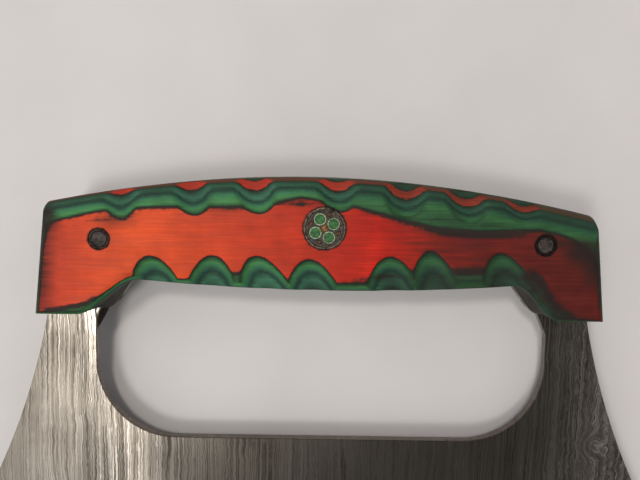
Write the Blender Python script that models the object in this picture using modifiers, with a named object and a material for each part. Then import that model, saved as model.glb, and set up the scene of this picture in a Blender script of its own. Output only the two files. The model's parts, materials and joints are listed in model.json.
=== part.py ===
"""Ulu knife: one piece of steel for blade and tang, between two carved scales on three mosaic pins.

Metres, +Z up. The knife is built flat in its own plane, with X along the handle, Y toward the
handle's crest and Z out of the front face, and Y = 0 at the middle pin. Its frame is then tipped
as the knife lies on a table: on the feet of the back scale and on the middle of the cutting edge.
"""
import math

import bmesh
import bpy
from mathutils import Matrix, Vector

# Blade
BLADE_WIDTH = 0.176
OVERALL_HEIGHT = 0.127
EDGE_RADIUS = 0.1256
FLARE_RADIUS = 0.169
BLADE_THICKNESS = 0.0025
GRIND_WIDTH = 0.014
SHARPENED_WIDTH = 0.0013
SHARPENED_THICKNESS = 0.0007
EDGE_THICKNESS = 0.0002

# Finger window, between two arms measured in from the shoulders
WINDOW_DEPTH = 0.03835
WINDOW_CORNER_RADIUS = 0.0192
LEFT_ARM = 0.01125
RIGHT_ARM = 0.00945
NECK_DROP = 0.0054

# Handle outline; the left end is flush with the tang and the right end stands a little proud
TANG_LENGTH = 0.1256
RIGHT_END_PROUD = 0.0009
HANDLE_HEIGHT = 0.0257
CREST_ABOVE_PIN = 0.01125
CREST_SHIFT = 0.0033
CREST_RADIUS = 0.285
BELLY_SHIFT = 0.004
BELLY_RADIUS = 0.500
FOOT_DROP = 0.00615
LEFT_FOOT = 0.0138
RIGHT_FOOT = 0.0115
COVE_RUN = 0.0077
LEFT_FACE_LEAD = 0.0041
LEFT_FACE_RUN = 0.0177
RIGHT_FACE_SETBACK = 0.0018
RIGHT_FACE_RUN = 0.0106
END_LEAN = math.radians(5.9)
TANG_CORNER_RADIUS = 0.001

# Scales and their rounded edges
SCALE_THICKNESS = 0.009
GLUE_LINE = 0.0002
CROWN_REACH = 0.00784
LEFT_CROWN_DROP_SHARE = 0.358
RIGHT_CROWN_DROP_SHARE = 0.562
BELLY_ARRIS_REACH = 0.0026
BELLY_ARRIS_DROP = 0.0023
FOOT_ARRIS = 0.0012
END_RADIUS = 0.002

# Carved grooves: place along the tang as a share of its half length, reach in from the edge as a
# share of the handle's height, the tilt of the round tool to the face and how far its run leans
# toward the left end, both in degrees
CREST_GROOVE_RADIUS = 0.0083
CREST_GROOVE_SHARES = (
    (-0.703, 0.257, 24.8, 7.7),
    (-0.434, 0.308, 22.2, 11.5),
    (-0.203, 0.320, 23.4, 11.6),
    (0.083, 0.295, 26.3, 5.4),
    (0.312, 0.320, 27.5, -2.0),
    (0.553, 0.289, 30.7, 4.6),
    (0.740, 0.223, 37.5, -4.4),
)
BELLY_GROOVE_RADIUS = 0.0092
BELLY_GROOVE_SHARES = (
    (-0.610, 0.236, 18.8, -11.8),
    (-0.376, 0.288, 18.4, 2.0),
    (-0.234, 0.304, 16.6, -17.6),
    (-0.042, 0.295, 19.2, -9.8),
    (0.251, 0.326, 18.5, -7.1),
    (0.393, 0.373, 12.8, -10.5),
    (0.637, 0.326, 14.6, -17.3),
)

# Pins
END_PIN_INSET = 0.01265
PIN_SHIFT = 0.0009
PIN_DROP = 0.0031
END_PIN_DIAMETER = 0.00476
END_PIN_WALL = 0.0006
MOSAIC_SHIFT = 0.00135
MOSAIC_DIAMETER = 0.009525
MOSAIC_WALL = 0.0005
MOSAIC_TURN = math.radians(26.6)
FILLER_MARGIN = 0.00058
INNER_TUBE_SPACING = 0.0004
INNER_TUBE_WALL = 0.0003
SMALL_ROD_DIAMETER = 0.0009
PIN_CLEARANCE = 0.0001
MOSAIC_CLEARANCE = 0.00006

CUT_OVERRUN = 0.002
MERGE = 0.000001
SLOPE_STEP = 0.00001
SHARP_ANGLE = math.radians(20)

# Counts
EDGE_RING_STEPS = 144
FLARE_STEPS = 10
CORNER_STEPS = 9
CROWN_STEPS = 5
ARRIS_STEPS = 5
END_STEPS = 5
COVE_STEPS = 13
MIDDLE_STEPS = 15
GROOVE_SIDES = 40
LARGE_PIN_SIDES = 36
SMALL_PIN_SIDES = 20

# Worked out from the sizes above
TANG_HALF = TANG_LENGTH / 2
GLUE_FACE = BLADE_THICKNESS / 2 + GLUE_LINE
FRONT_FACE = GLUE_FACE + SCALE_THICKNESS
BELLY_Y = CREST_ABOVE_PIN - HANDLE_HEIGHT
FOOT_Y = BELLY_Y - FOOT_DROP
EDGE_LOW_Y = CREST_ABOVE_PIN - OVERALL_HEIGHT
EDGE_CENTER_Y = EDGE_LOW_Y + EDGE_RADIUS
LEFT_COVE_START = TANG_HALF - LEFT_FOOT - COVE_RUN
RIGHT_COVE_START = TANG_HALF - RIGHT_FOOT - COVE_RUN
LEFT_FACE_START = LEFT_COVE_START - LEFT_FACE_LEAD
RIGHT_FACE_START = RIGHT_COVE_START + RIGHT_FACE_SETBACK


def clear_scene():
    for item in list(bpy.data.objects):
        bpy.data.objects.remove(item)


def new_collection(name):
    collection = bpy.data.collections.new(name)
    bpy.context.scene.collection.children.link(collection)
    return collection


def new_material(name, color, roughness, metallic=0.0):
    material = bpy.data.materials.new(name)
    material.use_nodes = True
    surface = material.node_tree.nodes["Principled BSDF"]
    surface.inputs["Base Color"].default_value = (*color, 1.0)
    surface.inputs["Roughness"].default_value = roughness
    surface.inputs["Metallic"].default_value = metallic
    material.diffuse_color = (*color, 1.0)
    return material


def circular_drop(distance, radius):
    """How far a circle of this radius falls from its top, this far to the side."""
    reach = min(abs(distance), radius)
    return radius - math.sqrt(radius ** 2 - reach ** 2)


def half_wave(share):
    """A smooth step from 0 to 1: half a cosine wave."""
    return (1 - math.cos(math.pi * min(max(share, 0.0), 1.0))) / 2


def fan(place, y):
    """X of a place along the handle: its lines fan out toward the feet, as the leaning ends do."""
    return place * (1 + math.tan(END_LEAN) * (-PIN_DROP - y) / TANG_HALF)


def crest(place, first, last):
    """Y of the handle's top edge, an arc with small round corners at both ends."""
    to_end = min(place - first, last - place)
    corner = circular_drop(TANG_CORNER_RADIUS - to_end, TANG_CORNER_RADIUS)
    if to_end > TANG_CORNER_RADIUS:
        corner = 0.0
    return CREST_ABOVE_PIN - circular_drop(place + CREST_SHIFT, CREST_RADIUS) - corner


def lower_edge(place, left_start, left_run, right_start, right_run):
    """Y of a lower edge: a long belly, and a half wave down to the foot at each end."""
    belly = BELLY_Y + circular_drop(place - BELLY_SHIFT, BELLY_RADIUS)
    left = half_wave((-place - left_start) / left_run)
    right = half_wave((place - right_start) / right_run)
    return belly + (FOOT_Y - belly) * max(left, right)


def underside(place):
    """The handle's lower edge at the tang."""
    return lower_edge(place, LEFT_COVE_START, COVE_RUN, RIGHT_COVE_START, COVE_RUN)


def face_underside(place):
    """The same edge at the front arris, where the coves run longer than at the tang."""
    return lower_edge(place, LEFT_FACE_START, LEFT_FACE_RUN, RIGHT_FACE_START, RIGHT_FACE_RUN)


def spread(start, end, steps):
    """Evenly spaced places from start up to, but without, end."""
    return [start + (end - start) * i / steps for i in range(steps)]


def face_slope(place):
    """How steeply the front arris climbs or falls along the handle."""
    rise = face_underside(place + SLOPE_STEP) - face_underside(place - SLOPE_STEP)
    return rise / (2 * SLOPE_STEP)


def even_turns(reach, drop, steps):
    """Angles of an elliptical edge, this wide and this deep, at which its surface turns evenly."""
    slopes = [math.pi / 2 * i / steps for i in range(steps + 1)]
    return [math.atan2(drop * math.sin(slope), reach * math.cos(slope)) for slope in slopes]


def places_along(first, last):
    """Places of the handle's sections, closer together in the rounded ends and in the coves."""
    eased = [END_RADIUS * (1 - math.cos(math.pi / 2 * i / END_STEPS)) for i in range(END_STEPS)]
    left_cove = -LEFT_FACE_START - LEFT_FACE_RUN
    right_cove = RIGHT_FACE_START + RIGHT_FACE_RUN
    places = [first + step for step in eased]
    places += spread(first + END_RADIUS, left_cove, 2)
    places += spread(left_cove, -LEFT_FACE_START, COVE_STEPS)
    places += spread(-LEFT_FACE_START, RIGHT_COVE_START, MIDDLE_STEPS)
    places += spread(RIGHT_COVE_START, right_cove, COVE_STEPS)
    places += spread(right_cove, last - END_RADIUS, 2)
    places += [last - END_RADIUS]
    places += [last - step for step in reversed(eased)]
    return places


def arc(center, radius, start, end, steps):
    """Points of an arc from one angle to another, both ends included."""
    turns = [start + (end - start) * i / steps for i in range(steps + 1)]
    return [(center[0] + radius * math.cos(a), center[1] + radius * math.sin(a)) for a in turns]


def circle(center, diameter, sides):
    return arc(center, diameter / 2, 0.0, 2 * math.pi, sides)[:-1]


def flared_side(shoulder, tip):
    """The hollow side of the blade: an arc from shoulder to tip with its center outside."""
    chord = Vector(tip) - Vector(shoulder)
    middle = (Vector(tip) + Vector(shoulder)) / 2
    outward = Vector((-chord.y, chord.x)).normalized()
    center = middle + outward * math.sqrt(FLARE_RADIUS ** 2 - (chord.length / 2) ** 2)
    start = math.atan2(shoulder[1] - center.y, shoulder[0] - center.x)
    end = math.atan2(tip[1] - center.y, tip[0] - center.x)
    start += 2 * math.pi if start < 0 else 0
    end += 2 * math.pi if end < 0 else 0
    return arc(center, FLARE_RADIUS, start, end, FLARE_STEPS)


def blade_outline():
    """Tang, shoulders, flared sides and cutting arc, clockwise from the tang's left end."""
    tip_x = BLADE_WIDTH / 2
    tip = (tip_x, EDGE_CENTER_Y - math.sqrt(EDGE_RADIUS ** 2 - tip_x ** 2))
    shoulder = (fan(TANG_HALF, FOOT_Y), FOOT_Y)
    right_side = flared_side(shoulder, tip)
    left_side = [(-x, y) for x, y in reversed(right_side)]
    places = places_along(-TANG_HALF, TANG_HALF)
    tang = [(place, crest(place, -TANG_HALF, TANG_HALF)) for place in places]
    step = 2 * math.pi / EDGE_RING_STEPS
    count = int(math.asin(tip_x / EDGE_RADIUS) / step)
    start = count * step - math.pi / 2
    end = -count * step - math.pi / 2
    edge = arc((0, EDGE_CENTER_Y), EDGE_RADIUS, start, end, 2 * count)
    return [(fan(place, y), y) for place, y in tang] + right_side + edge + left_side


def window_outline():
    """The finger window: the handle's underside, two upright sides and two large lower corners."""
    shoulder_x = fan(TANG_HALF, FOOT_Y)
    left_x = LEFT_ARM - shoulder_x
    right_x = shoulder_x - RIGHT_ARM
    floor_y = BELLY_Y - WINDOW_DEPTH
    radius = WINDOW_CORNER_RADIUS
    start = -LEFT_COVE_START - COVE_RUN
    end = RIGHT_COVE_START + COVE_RUN
    top = spread(start, -LEFT_COVE_START, COVE_STEPS)
    top += spread(-LEFT_COVE_START, RIGHT_COVE_START, MIDDLE_STEPS)
    top += spread(RIGHT_COVE_START, end, COVE_STEPS) + [end]
    ceiling = [(fan(place, underside(place)), underside(place)) for place in top]
    right = arc((right_x - radius, floor_y + radius), radius, 0.0, -math.pi / 2, CORNER_STEPS)
    left = arc((left_x + radius, floor_y + radius), radius, -math.pi / 2, -math.pi, CORNER_STEPS)
    neck_y = FOOT_Y - NECK_DROP
    return ceiling + [(right_x, neck_y)] + right + left + [(left_x, neck_y)]


def tidy_mesh(mesh, merge=MERGE):
    shape = bmesh.new()
    shape.from_mesh(mesh)
    bmesh.ops.remove_doubles(shape, verts=shape.verts, dist=merge)
    bmesh.ops.recalc_face_normals(shape, faces=shape.faces)
    shape.to_mesh(mesh)
    shape.free()


def add_object(name, mesh, collection, frame):
    item = bpy.data.objects.new(name, mesh)
    collection.objects.link(item)
    item.parent = frame
    return item


def flat_solid(name, outlines, half_thickness, collection, frame):
    """An outline and its holes as a filled curve, extruded both ways and made a mesh."""
    curve = bpy.data.curves.new(name + "_outline", "CURVE")
    curve.dimensions = "2D"
    curve.fill_mode = "BOTH"
    curve.extrude = half_thickness
    for points in outlines:
        spline = curve.splines.new("POLY")
        spline.points.add(len(points) - 1)
        for slot, (x, y) in zip(spline.points, points):
            slot.co = (x, y, 0.0, 1.0)
        spline.use_cyclic_u = True
    guide = bpy.data.objects.new(name + "_outline", curve)
    collection.objects.link(guide)
    drawn = guide.evaluated_get(bpy.context.evaluated_depsgraph_get())
    mesh = bpy.data.meshes.new_from_object(drawn)
    mesh.name = name
    tidy_mesh(mesh)
    item = add_object(name, mesh, collection, frame)
    item.matrix_world = guide.matrix_world.copy()
    bpy.data.objects.remove(guide)
    bpy.data.curves.remove(curve)
    return item


def scale_section(place, side, first, last):
    """One section of a scale: glue face, top wall, crown, face, lower arris and lower wall."""
    along = (place + TANG_HALF) / TANG_LENGTH
    drop_share = LEFT_CROWN_DROP_SHARE + (RIGHT_CROWN_DROP_SHARE - LEFT_CROWN_DROP_SHARE) * along
    crown_drop = SCALE_THICKNESS * drop_share
    top_y = crest(place, first, last)
    tang_y = underside(place)
    face_y = face_underside(place)
    foot_share = (face_y - BELLY_Y) / (FOOT_Y - BELLY_Y)
    foot_share = min(max(foot_share, 0.0), 1.0)
    reach = BELLY_ARRIS_REACH + (FOOT_ARRIS - BELLY_ARRIS_REACH) * foot_share ** 2
    reach *= math.hypot(1, face_slope(place))
    drop = BELLY_ARRIS_DROP + (FOOT_ARRIS - BELLY_ARRIS_DROP) * foot_share ** 2
    to_end = min(place - first, last - place)
    rounding = circular_drop(END_RADIUS - to_end, END_RADIUS) if to_end < END_RADIUS else 0.0
    points = [(tang_y, GLUE_FACE), (top_y, GLUE_FACE)]
    for turn in even_turns(CROWN_REACH, crown_drop, CROWN_STEPS):
        depth = max(crown_drop * (1 - math.sin(turn)), rounding)
        points.append((top_y - CROWN_REACH * (1 - math.cos(turn)), FRONT_FACE - depth))
    for turn in reversed(even_turns(reach, drop, ARRIS_STEPS)):
        depth = max(drop * (1 - math.sin(turn)), rounding)
        points.append((face_y + reach * (1 - math.cos(turn)), FRONT_FACE - depth))
    return [(fan(place, y), y, side * z) for y, z in points]


def loft(name, sections, collection, frame):
    """A closed solid through a row of unlike sections with as many points each."""
    shape = bmesh.new()
    rings = [[shape.verts.new(point) for point in section] for section in sections]
    count = len(rings[0])
    for near, far in zip(rings, rings[1:]):
        for i in range(count):
            j = (i + 1) % count
            shape.faces.new((near[i], near[j], far[j], far[i]))
    shape.faces.new(reversed(rings[0]))
    shape.faces.new(rings[-1])
    bmesh.ops.recalc_face_normals(shape, faces=shape.faces)
    mesh = bpy.data.meshes.new(name)
    shape.to_mesh(mesh)
    shape.free()
    return add_object(name, mesh, collection, frame)


def as_cutter(item):
    item.hide_render = True
    item.display_type = "WIRE"
    return item


def cut(item, cutter):
    modifier = item.modifiers.new("cut_" + cutter.name, "BOOLEAN")
    modifier.operation = "DIFFERENCE"
    modifier.solver = "EXACT"
    modifier.object = cutter


def keep_cuts(item):
    """Make the cut shape the object's own mesh, so that its shading follows the new edges."""
    graph = bpy.context.evaluated_depsgraph_get()
    mesh = bpy.data.meshes.new_from_object(item.evaluated_get(graph))
    item.modifiers.clear()
    item.data = mesh


def groove_cutter(name, entry, heading, tilt, side, radius, cutters, frame):
    """A round tool that enters the face at one point and sinks as it runs out past the edge."""
    run = heading * math.cos(tilt) - Vector((0, 0, side * math.sin(tilt)))
    rise = heading * math.sin(tilt) + Vector((0, 0, side * math.cos(tilt)))
    length = HANDLE_HEIGHT + radius
    shape = bmesh.new()
    bmesh.ops.create_cone(
        shape, cap_ends=True, segments=GROOVE_SIDES, radius1=radius, radius2=radius, depth=length
    )
    mesh = bpy.data.meshes.new(name)
    shape.to_mesh(mesh)
    shape.free()
    item = as_cutter(add_object(name, mesh, cutters, frame))
    item.location = Vector(entry) + rise * radius + run * (length / 2 - radius)
    item.rotation_euler = run.to_track_quat("Z", "Y").to_euler()
    return item


def groove_cutters(side, cutters, frame):
    """Every groove of one scale, along the crest and along the belly."""
    label = "front" if side > 0 else "back"
    rows = (
        ("crest", CREST_GROOVE_SHARES, CREST_GROOVE_RADIUS, 1),
        ("belly", BELLY_GROOVE_SHARES, BELLY_GROOVE_RADIUS, -1),
    )
    made = []
    for row, grooves, radius, outward in rows:
        for number, (place_share, reach_share, tilt, lean) in enumerate(grooves, 1):
            place = place_share * TANG_HALF
            rim = crest(place, -TANG_HALF, TANG_HALF) if outward > 0 else face_underside(place)
            entry_y = rim - outward * reach_share * HANDLE_HEIGHT
            entry = (fan(place, entry_y), entry_y, side * FRONT_FACE)
            name = f"{label}_{row}_groove_{number}"
            turn = math.radians(lean)
            heading = Vector((-math.sin(turn), outward * math.cos(turn), 0))
            dip = math.radians(tilt)
            made.append(groove_cutter(name, entry, heading, dip, side, radius, cutters, frame))
    return made


def pin_places():
    """Center and diameter of each pin, by name."""
    left_x = PIN_SHIFT - TANG_HALF + END_PIN_INSET
    right_x = PIN_SHIFT + TANG_HALF - END_PIN_INSET
    return {
        "left_pin": ((left_x, -PIN_DROP), END_PIN_DIAMETER, SMALL_PIN_SIDES),
        "mosaic": ((MOSAIC_SHIFT, 0.0), MOSAIC_DIAMETER, LARGE_PIN_SIDES),
        "right_pin": ((right_x, -PIN_DROP), END_PIN_DIAMETER, SMALL_PIN_SIDES),
    }


def pin_hole(center, diameter, sides):
    return circle(center, diameter + 2 * PIN_CLEARANCE, sides)


def grind_cutter(name, turn, cutters, frame):
    """A turned ring whose inner side is the ground bevel and the sharpened bevel of one face."""
    half = BLADE_THICKNESS / 2
    shoulder_half = SHARPENED_THICKNESS / 2
    edge_half = EDGE_THICKNESS / 2
    grind_start = EDGE_RADIUS - GRIND_WIDTH
    sharpened_start = EDGE_RADIUS - SHARPENED_WIDTH
    grind_slope = (half - shoulder_half) / (GRIND_WIDTH - SHARPENED_WIDTH)
    edge_slope = (shoulder_half - edge_half) / SHARPENED_WIDTH
    profile = [
        (grind_start - CUT_OVERRUN, half + CUT_OVERRUN),
        (EDGE_RADIUS + CUT_OVERRUN, half + CUT_OVERRUN),
        (EDGE_RADIUS + CUT_OVERRUN, edge_half - CUT_OVERRUN * edge_slope),
        (sharpened_start, shoulder_half),
        (grind_start - CUT_OVERRUN, half + CUT_OVERRUN * grind_slope),
    ]
    mesh = bpy.data.meshes.new(name)
    loop = [(i, (i + 1) % len(profile)) for i in range(len(profile))]
    mesh.from_pydata([(radius, 0.0, z) for radius, z in profile], loop, [])
    item = as_cutter(add_object(name, mesh, cutters, frame))
    item.location = (0, EDGE_CENTER_Y, 0)
    item.rotation_euler = (turn, 0, 0)
    screw = item.modifiers.new("turned", "SCREW")
    screw.steps = EDGE_RING_STEPS
    screw.render_steps = EDGE_RING_STEPS
    screw.use_merge_vertices = True
    screw.merge_threshold = MERGE
    return item


def make_blade(parts, cutters, frame, material):
    holes = [pin_hole(*pin) for pin in pin_places().values()]
    outlines = [blade_outline(), window_outline()] + holes
    blade = flat_solid("blade", outlines, BLADE_THICKNESS / 2, parts, frame)
    cut(blade, grind_cutter("front_grind", 0.0, cutters, frame))
    cut(blade, grind_cutter("back_grind", math.pi, cutters, frame))
    blade.data.materials.append(material)
    keep_cuts(blade)


def make_scale(name, side, parts, cutters, frame, material):
    first = -TANG_HALF
    last = TANG_HALF + RIGHT_END_PROUD
    sections = [scale_section(place, side, first, last) for place in places_along(first, last)]
    scale = loft(name, sections, parts, frame)
    for cutter in groove_cutters(side, cutters, frame):
        cut(scale, cutter)
    reach = FRONT_FACE + CUT_OVERRUN
    for pin, place in pin_places().items():
        hole = flat_solid(f"{name}_{pin}_hole", [pin_hole(*place)], reach, cutters, frame)
        cut(scale, as_cutter(hole))
    scale.data.materials.append(material)
    keep_cuts(scale)


def make_round(name, center, diameter, bore, sides, parts, frame, material):
    """A rod, or a tube if it has a bore, through both scales and flush with their faces."""
    outlines = [circle(center, diameter, sides)]
    if bore:
        outlines.append(circle(center, bore, sides))
    item = flat_solid(name, outlines, FRONT_FACE, parts, frame)
    item.data.materials.append(material)


def make_end_pin(name, center, parts, frame, materials):
    bore = END_PIN_DIAMETER - 2 * END_PIN_WALL
    core = bore - 2 * MOSAIC_CLEARANCE
    sides = SMALL_PIN_SIDES
    steel = materials["pin_steel"]
    make_round(name + "_tube", center, END_PIN_DIAMETER, bore, sides, parts, frame, steel)
    make_round(name + "_core", center, core, 0.0, sides, parts, frame, materials["pin_resin"])


def around(center, radius, turn):
    return (center[0] + radius * math.cos(turn), center[1] + radius * math.sin(turn))


def make_mosaic_pin(center, parts, frame, materials):
    """The middle pin: four tubes with colored cores round a rod, small rods between, all in filler."""
    bore_radius = MOSAIC_DIAMETER / 2 - MOSAIC_WALL
    spacing_radius = INNER_TUBE_SPACING / math.sqrt(2)
    tube_radius = (bore_radius - FILLER_MARGIN - spacing_radius) / (1 + math.sqrt(2))
    pitch = math.sqrt(2) * tube_radius + spacing_radius
    core_bore = 2 * (tube_radius - INNER_TUBE_WALL)
    rod_radius = pitch - tube_radius - 2 * MOSAIC_CLEARANCE
    outer = bore_radius + tube_radius
    small_pitch = (outer ** 2 - pitch ** 2) / (2 * outer - math.sqrt(2) * pitch)
    gap = 2 * MOSAIC_CLEARANCE
    sides = SMALL_PIN_SIDES
    turns = [MOSAIC_TURN + math.pi / 2 * i for i in range(4)]
    tubes = [around(center, pitch, turn) for turn in turns]
    rods = [around(center, small_pitch, turn + math.pi / 4) for turn in turns]

    steel = materials["pin_steel"]
    brass = materials["pin_brass"]
    green = materials["green_resin"]
    copper = materials["copper"]
    bore = 2 * bore_radius
    make_round(
        "mosaic_outer_tube", center, MOSAIC_DIAMETER, bore, LARGE_PIN_SIDES, parts, frame, steel
    )
    holes = [circle(place, 2 * tube_radius + gap, sides) for place in tubes]
    holes += [circle(place, SMALL_ROD_DIAMETER + gap, sides) for place in rods]
    holes.append(circle(center, 2 * rod_radius + gap, sides))
    body = circle(center, bore - gap, LARGE_PIN_SIDES)
    filler = flat_solid("mosaic_filler", [body] + holes, FRONT_FACE, parts, frame)
    filler.data.materials.append(materials["pin_resin"])
    for number, place in enumerate(tubes, 1):
        tube = 2 * tube_radius
        make_round(f"mosaic_tube_{number}", place, tube, core_bore, sides, parts, frame, brass)
        make_round(f"mosaic_core_{number}", place, core_bore - gap, 0.0, sides, parts, frame, green)
    for number, place in enumerate(rods, 1):
        name = f"mosaic_rod_{number}"
        make_round(name, place, SMALL_ROD_DIAMETER, 0.0, sides, parts, frame, copper)
    make_round("mosaic_center_rod", center, 2 * rod_radius, 0.0, sides, parts, frame, copper)


def lay_down(frame, parts):
    """Tip the frame until feet and edge touch one plane, and center the knife over the origin."""
    bpy.context.view_layer.update()
    points = [item.matrix_world @ vertex.co for item in parts.objects for vertex in item.data.vertices]
    low_y = min(point.y for point in points)
    at_edge = [point for point in points if point.y < low_y + EDGE_THICKNESS]
    edge = min(at_edge, key=lambda point: point.z)
    behind = [point for point in points if point.y > edge.y + GRIND_WIDTH]
    tip = max(math.atan2(edge.z - point.z, point.y - edge.y) for point in behind)
    turned = Matrix.Rotation(tip, 3, "X")
    points = [turned @ point for point in points]
    middle_x = (min(p.x for p in points) + max(p.x for p in points)) / 2
    middle_y = (min(p.y for p in points) + max(p.y for p in points)) / 2
    frame.rotation_euler = (tip, 0, 0)
    frame.location = (-middle_x, -middle_y, -min(p.z for p in points))
    bpy.context.view_layer.update()


def shade(parts):
    for item in parts.objects:
        item.data.shade_smooth()
        item.data.set_sharp_from_angle(angle=SHARP_ANGLE)


def main():
    clear_scene()
    parts = new_collection("ulu_knife")
    cutters = new_collection("cutters")
    frame = bpy.data.objects.new("knife_frame", None)
    bpy.context.scene.collection.objects.link(frame)
    frame.empty_display_size = TANG_HALF

    materials = {
        "blade_steel": new_material("blade_steel", (0.20, 0.19, 0.17), 0.38, 1.0),
        "front_wood": new_material("front_wood", (0.52, 0.07, 0.03), 0.4),
        "back_wood": new_material("back_wood", (0.50, 0.07, 0.03), 0.4),
        "pin_steel": new_material("pin_steel", (0.10, 0.09, 0.09), 0.45, 1.0),
        "pin_resin": new_material("pin_resin", (0.06, 0.05, 0.05), 0.5),
        "pin_brass": new_material("pin_brass", (0.40, 0.42, 0.30), 0.35, 1.0),
        "green_resin": new_material("green_resin", (0.04, 0.19, 0.05), 0.4),
        "copper": new_material("copper", (0.55, 0.25, 0.10), 0.35, 1.0),
    }
    make_blade(parts, cutters, frame, materials["blade_steel"])
    make_scale("front_scale", 1, parts, cutters, frame, materials["front_wood"])
    make_scale("back_scale", -1, parts, cutters, frame, materials["back_wood"])
    pins = pin_places()
    for name in ("left_pin", "right_pin"):
        make_end_pin(name, pins[name][0], parts, frame, materials)
    make_mosaic_pin(pins["mosaic"][0], parts, frame, materials)
    lay_down(frame, parts)
    shade(parts)


main()
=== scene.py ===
# %% [markdown]
# # A ulu knife with carved laminated scales
#
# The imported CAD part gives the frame: its box, its pieces and where they lie. Everything in
# this lesson is fitted to it, so that what is drawn here can replace or dress its pieces.

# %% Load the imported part
import json
import math
from functools import partial

import bmesh
import bpy
import numpy as np
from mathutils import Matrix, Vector


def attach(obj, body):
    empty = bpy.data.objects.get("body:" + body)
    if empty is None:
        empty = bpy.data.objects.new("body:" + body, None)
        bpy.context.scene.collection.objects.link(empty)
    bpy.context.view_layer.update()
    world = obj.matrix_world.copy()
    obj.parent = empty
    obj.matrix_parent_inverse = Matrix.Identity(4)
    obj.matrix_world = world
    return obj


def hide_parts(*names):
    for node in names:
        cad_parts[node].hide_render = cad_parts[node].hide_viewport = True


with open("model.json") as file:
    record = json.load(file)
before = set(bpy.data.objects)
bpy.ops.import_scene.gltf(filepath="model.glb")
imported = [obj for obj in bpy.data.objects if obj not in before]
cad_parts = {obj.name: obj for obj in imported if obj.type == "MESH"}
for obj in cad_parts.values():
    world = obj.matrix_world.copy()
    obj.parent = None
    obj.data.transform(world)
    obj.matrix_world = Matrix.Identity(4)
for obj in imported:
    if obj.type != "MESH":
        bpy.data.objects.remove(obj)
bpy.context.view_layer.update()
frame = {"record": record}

# %% [markdown]
# ## The knife's own plane
#
# The knife lies on its back, a little tipped. A maker lays it out flat, so the pieces are
# worked out in the knife's own plane in millimetres: x along the handle, y toward its crest
# and z out of the front face, with y = 0 at the middle pin. The mount on the back face tells
# how that plane lies, so it is read from the record instead of being measured again.

# %% From the knife's plane to the frame
MM = 0.001
FRONT_FACE = 10.45
MOUNT_SPOT = np.array([-20.0, -2.0, -FRONT_FACE])

mount = frame["record"]["mounts"][0]
out_axis = -np.array(mount["axis"])
along_axis = np.array([1.0, 0.0, 0.0])
up_axis = np.cross(out_axis, along_axis)
plane_axes = np.array([along_axis, up_axis, out_axis])
plane_origin = np.array(mount["pos_m"]) - MM * MOUNT_SPOT @ plane_axes
lean = math.atan2(up_axis[2], up_axis[1])


def to_frame(points):
    """Knife's plane in mm to the frame in m: origin + x * along + y * up + z * out."""
    return plane_origin + MM * np.asarray(points) @ plane_axes


def to_plane(points):
    """Frame in m to the knife's plane in mm, which undoes to_frame."""
    return (np.asarray(points) - plane_origin) @ plane_axes.T / MM


print("lean in degrees:", round(math.degrees(lean), 3), "origin:", plane_origin)

# %% [markdown]
# ## Outline of the handle
#
# The handle's crest is one long arc. Its belly is a flatter arc that turns down into a foot
# at each end by half a cosine wave. On the face the coves are cut on another line than at
# the tang, so the wall between the two lines leans. Lines across the handle fan out toward
# the feet, because both ends lean outward.

# %% Outline formulas
TANG_HALF = 62.8
RIGHT_END_PROUD = 0.9
HANDLE_HEIGHT = 25.7
CREST_ABOVE_PIN = 11.25
CREST_SHIFT = 3.3
CREST_RADIUS = 285.0
BELLY_SHIFT = 4.0
BELLY_RADIUS = 500.0
FOOT_DROP = 6.15
LEFT_FOOT = 13.8
RIGHT_FOOT = 11.5
COVE_RUN = 7.7
LEFT_FACE_LEAD = 1.5
LEFT_FACE_RUN = 13.8
RIGHT_FACE_SETBACK = 1.1
RIGHT_FACE_RUN = 8.8
END_LEAN = math.radians(5.9)
TANG_CORNER_RADIUS = 1.0
PIN_DROP = 3.1
BELLY_Y = CREST_ABOVE_PIN - HANDLE_HEIGHT
FOOT_Y = BELLY_Y - FOOT_DROP
LEFT_COVE_START = TANG_HALF - LEFT_FOOT - COVE_RUN
RIGHT_COVE_START = TANG_HALF - RIGHT_FOOT - COVE_RUN
FIRST = -TANG_HALF
LAST = TANG_HALF + RIGHT_END_PROUD


def circular_drop(distance, radius):
    """How far a circle falls from its top: radius - sqrt(radius^2 - distance^2)."""
    reach = np.minimum(np.abs(distance), radius)
    return radius - np.sqrt(radius ** 2 - reach ** 2)


def half_wave(share):
    """A smooth step: (1 - cos(pi * share)) / 2, held at 0 before and at 1 after."""
    return (1 - np.cos(np.pi * np.clip(share, 0, 1))) / 2


def fan(place, y):
    """X of a place: place * (1 + tan(lean) * (drop of the pins below y) / half length)."""
    return place * (1 + math.tan(END_LEAN) * (-PIN_DROP - y) / TANG_HALF)


def unfan(x, y):
    """The place along the handle of a point: fan undone."""
    return x / (1 + math.tan(END_LEAN) * (-PIN_DROP - y) / TANG_HALF)


def crest(place, first=FIRST, last=LAST):
    """Y of the top edge: an arc about a shifted middle, less a round corner at both ends."""
    to_end = np.minimum(place - first, last - place)
    corner = circular_drop(np.maximum(TANG_CORNER_RADIUS - to_end, 0), TANG_CORNER_RADIUS)
    return CREST_ABOVE_PIN - circular_drop(place + CREST_SHIFT, CREST_RADIUS) - corner


def lower_edge(place, left_start, left_run, right_start, right_run):
    """Y of a lower edge: the belly's arc, blended to the feet by a half wave at each end."""
    belly = BELLY_Y + circular_drop(place - BELLY_SHIFT, BELLY_RADIUS)
    left = half_wave((-place - left_start) / left_run)
    right = half_wave((place - right_start) / right_run)
    return belly + (FOOT_Y - belly) * np.maximum(left, right)


def tang_underside(place):
    """The lower edge at the tang."""
    return lower_edge(place, LEFT_COVE_START, COVE_RUN, RIGHT_COVE_START, COVE_RUN)


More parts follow.
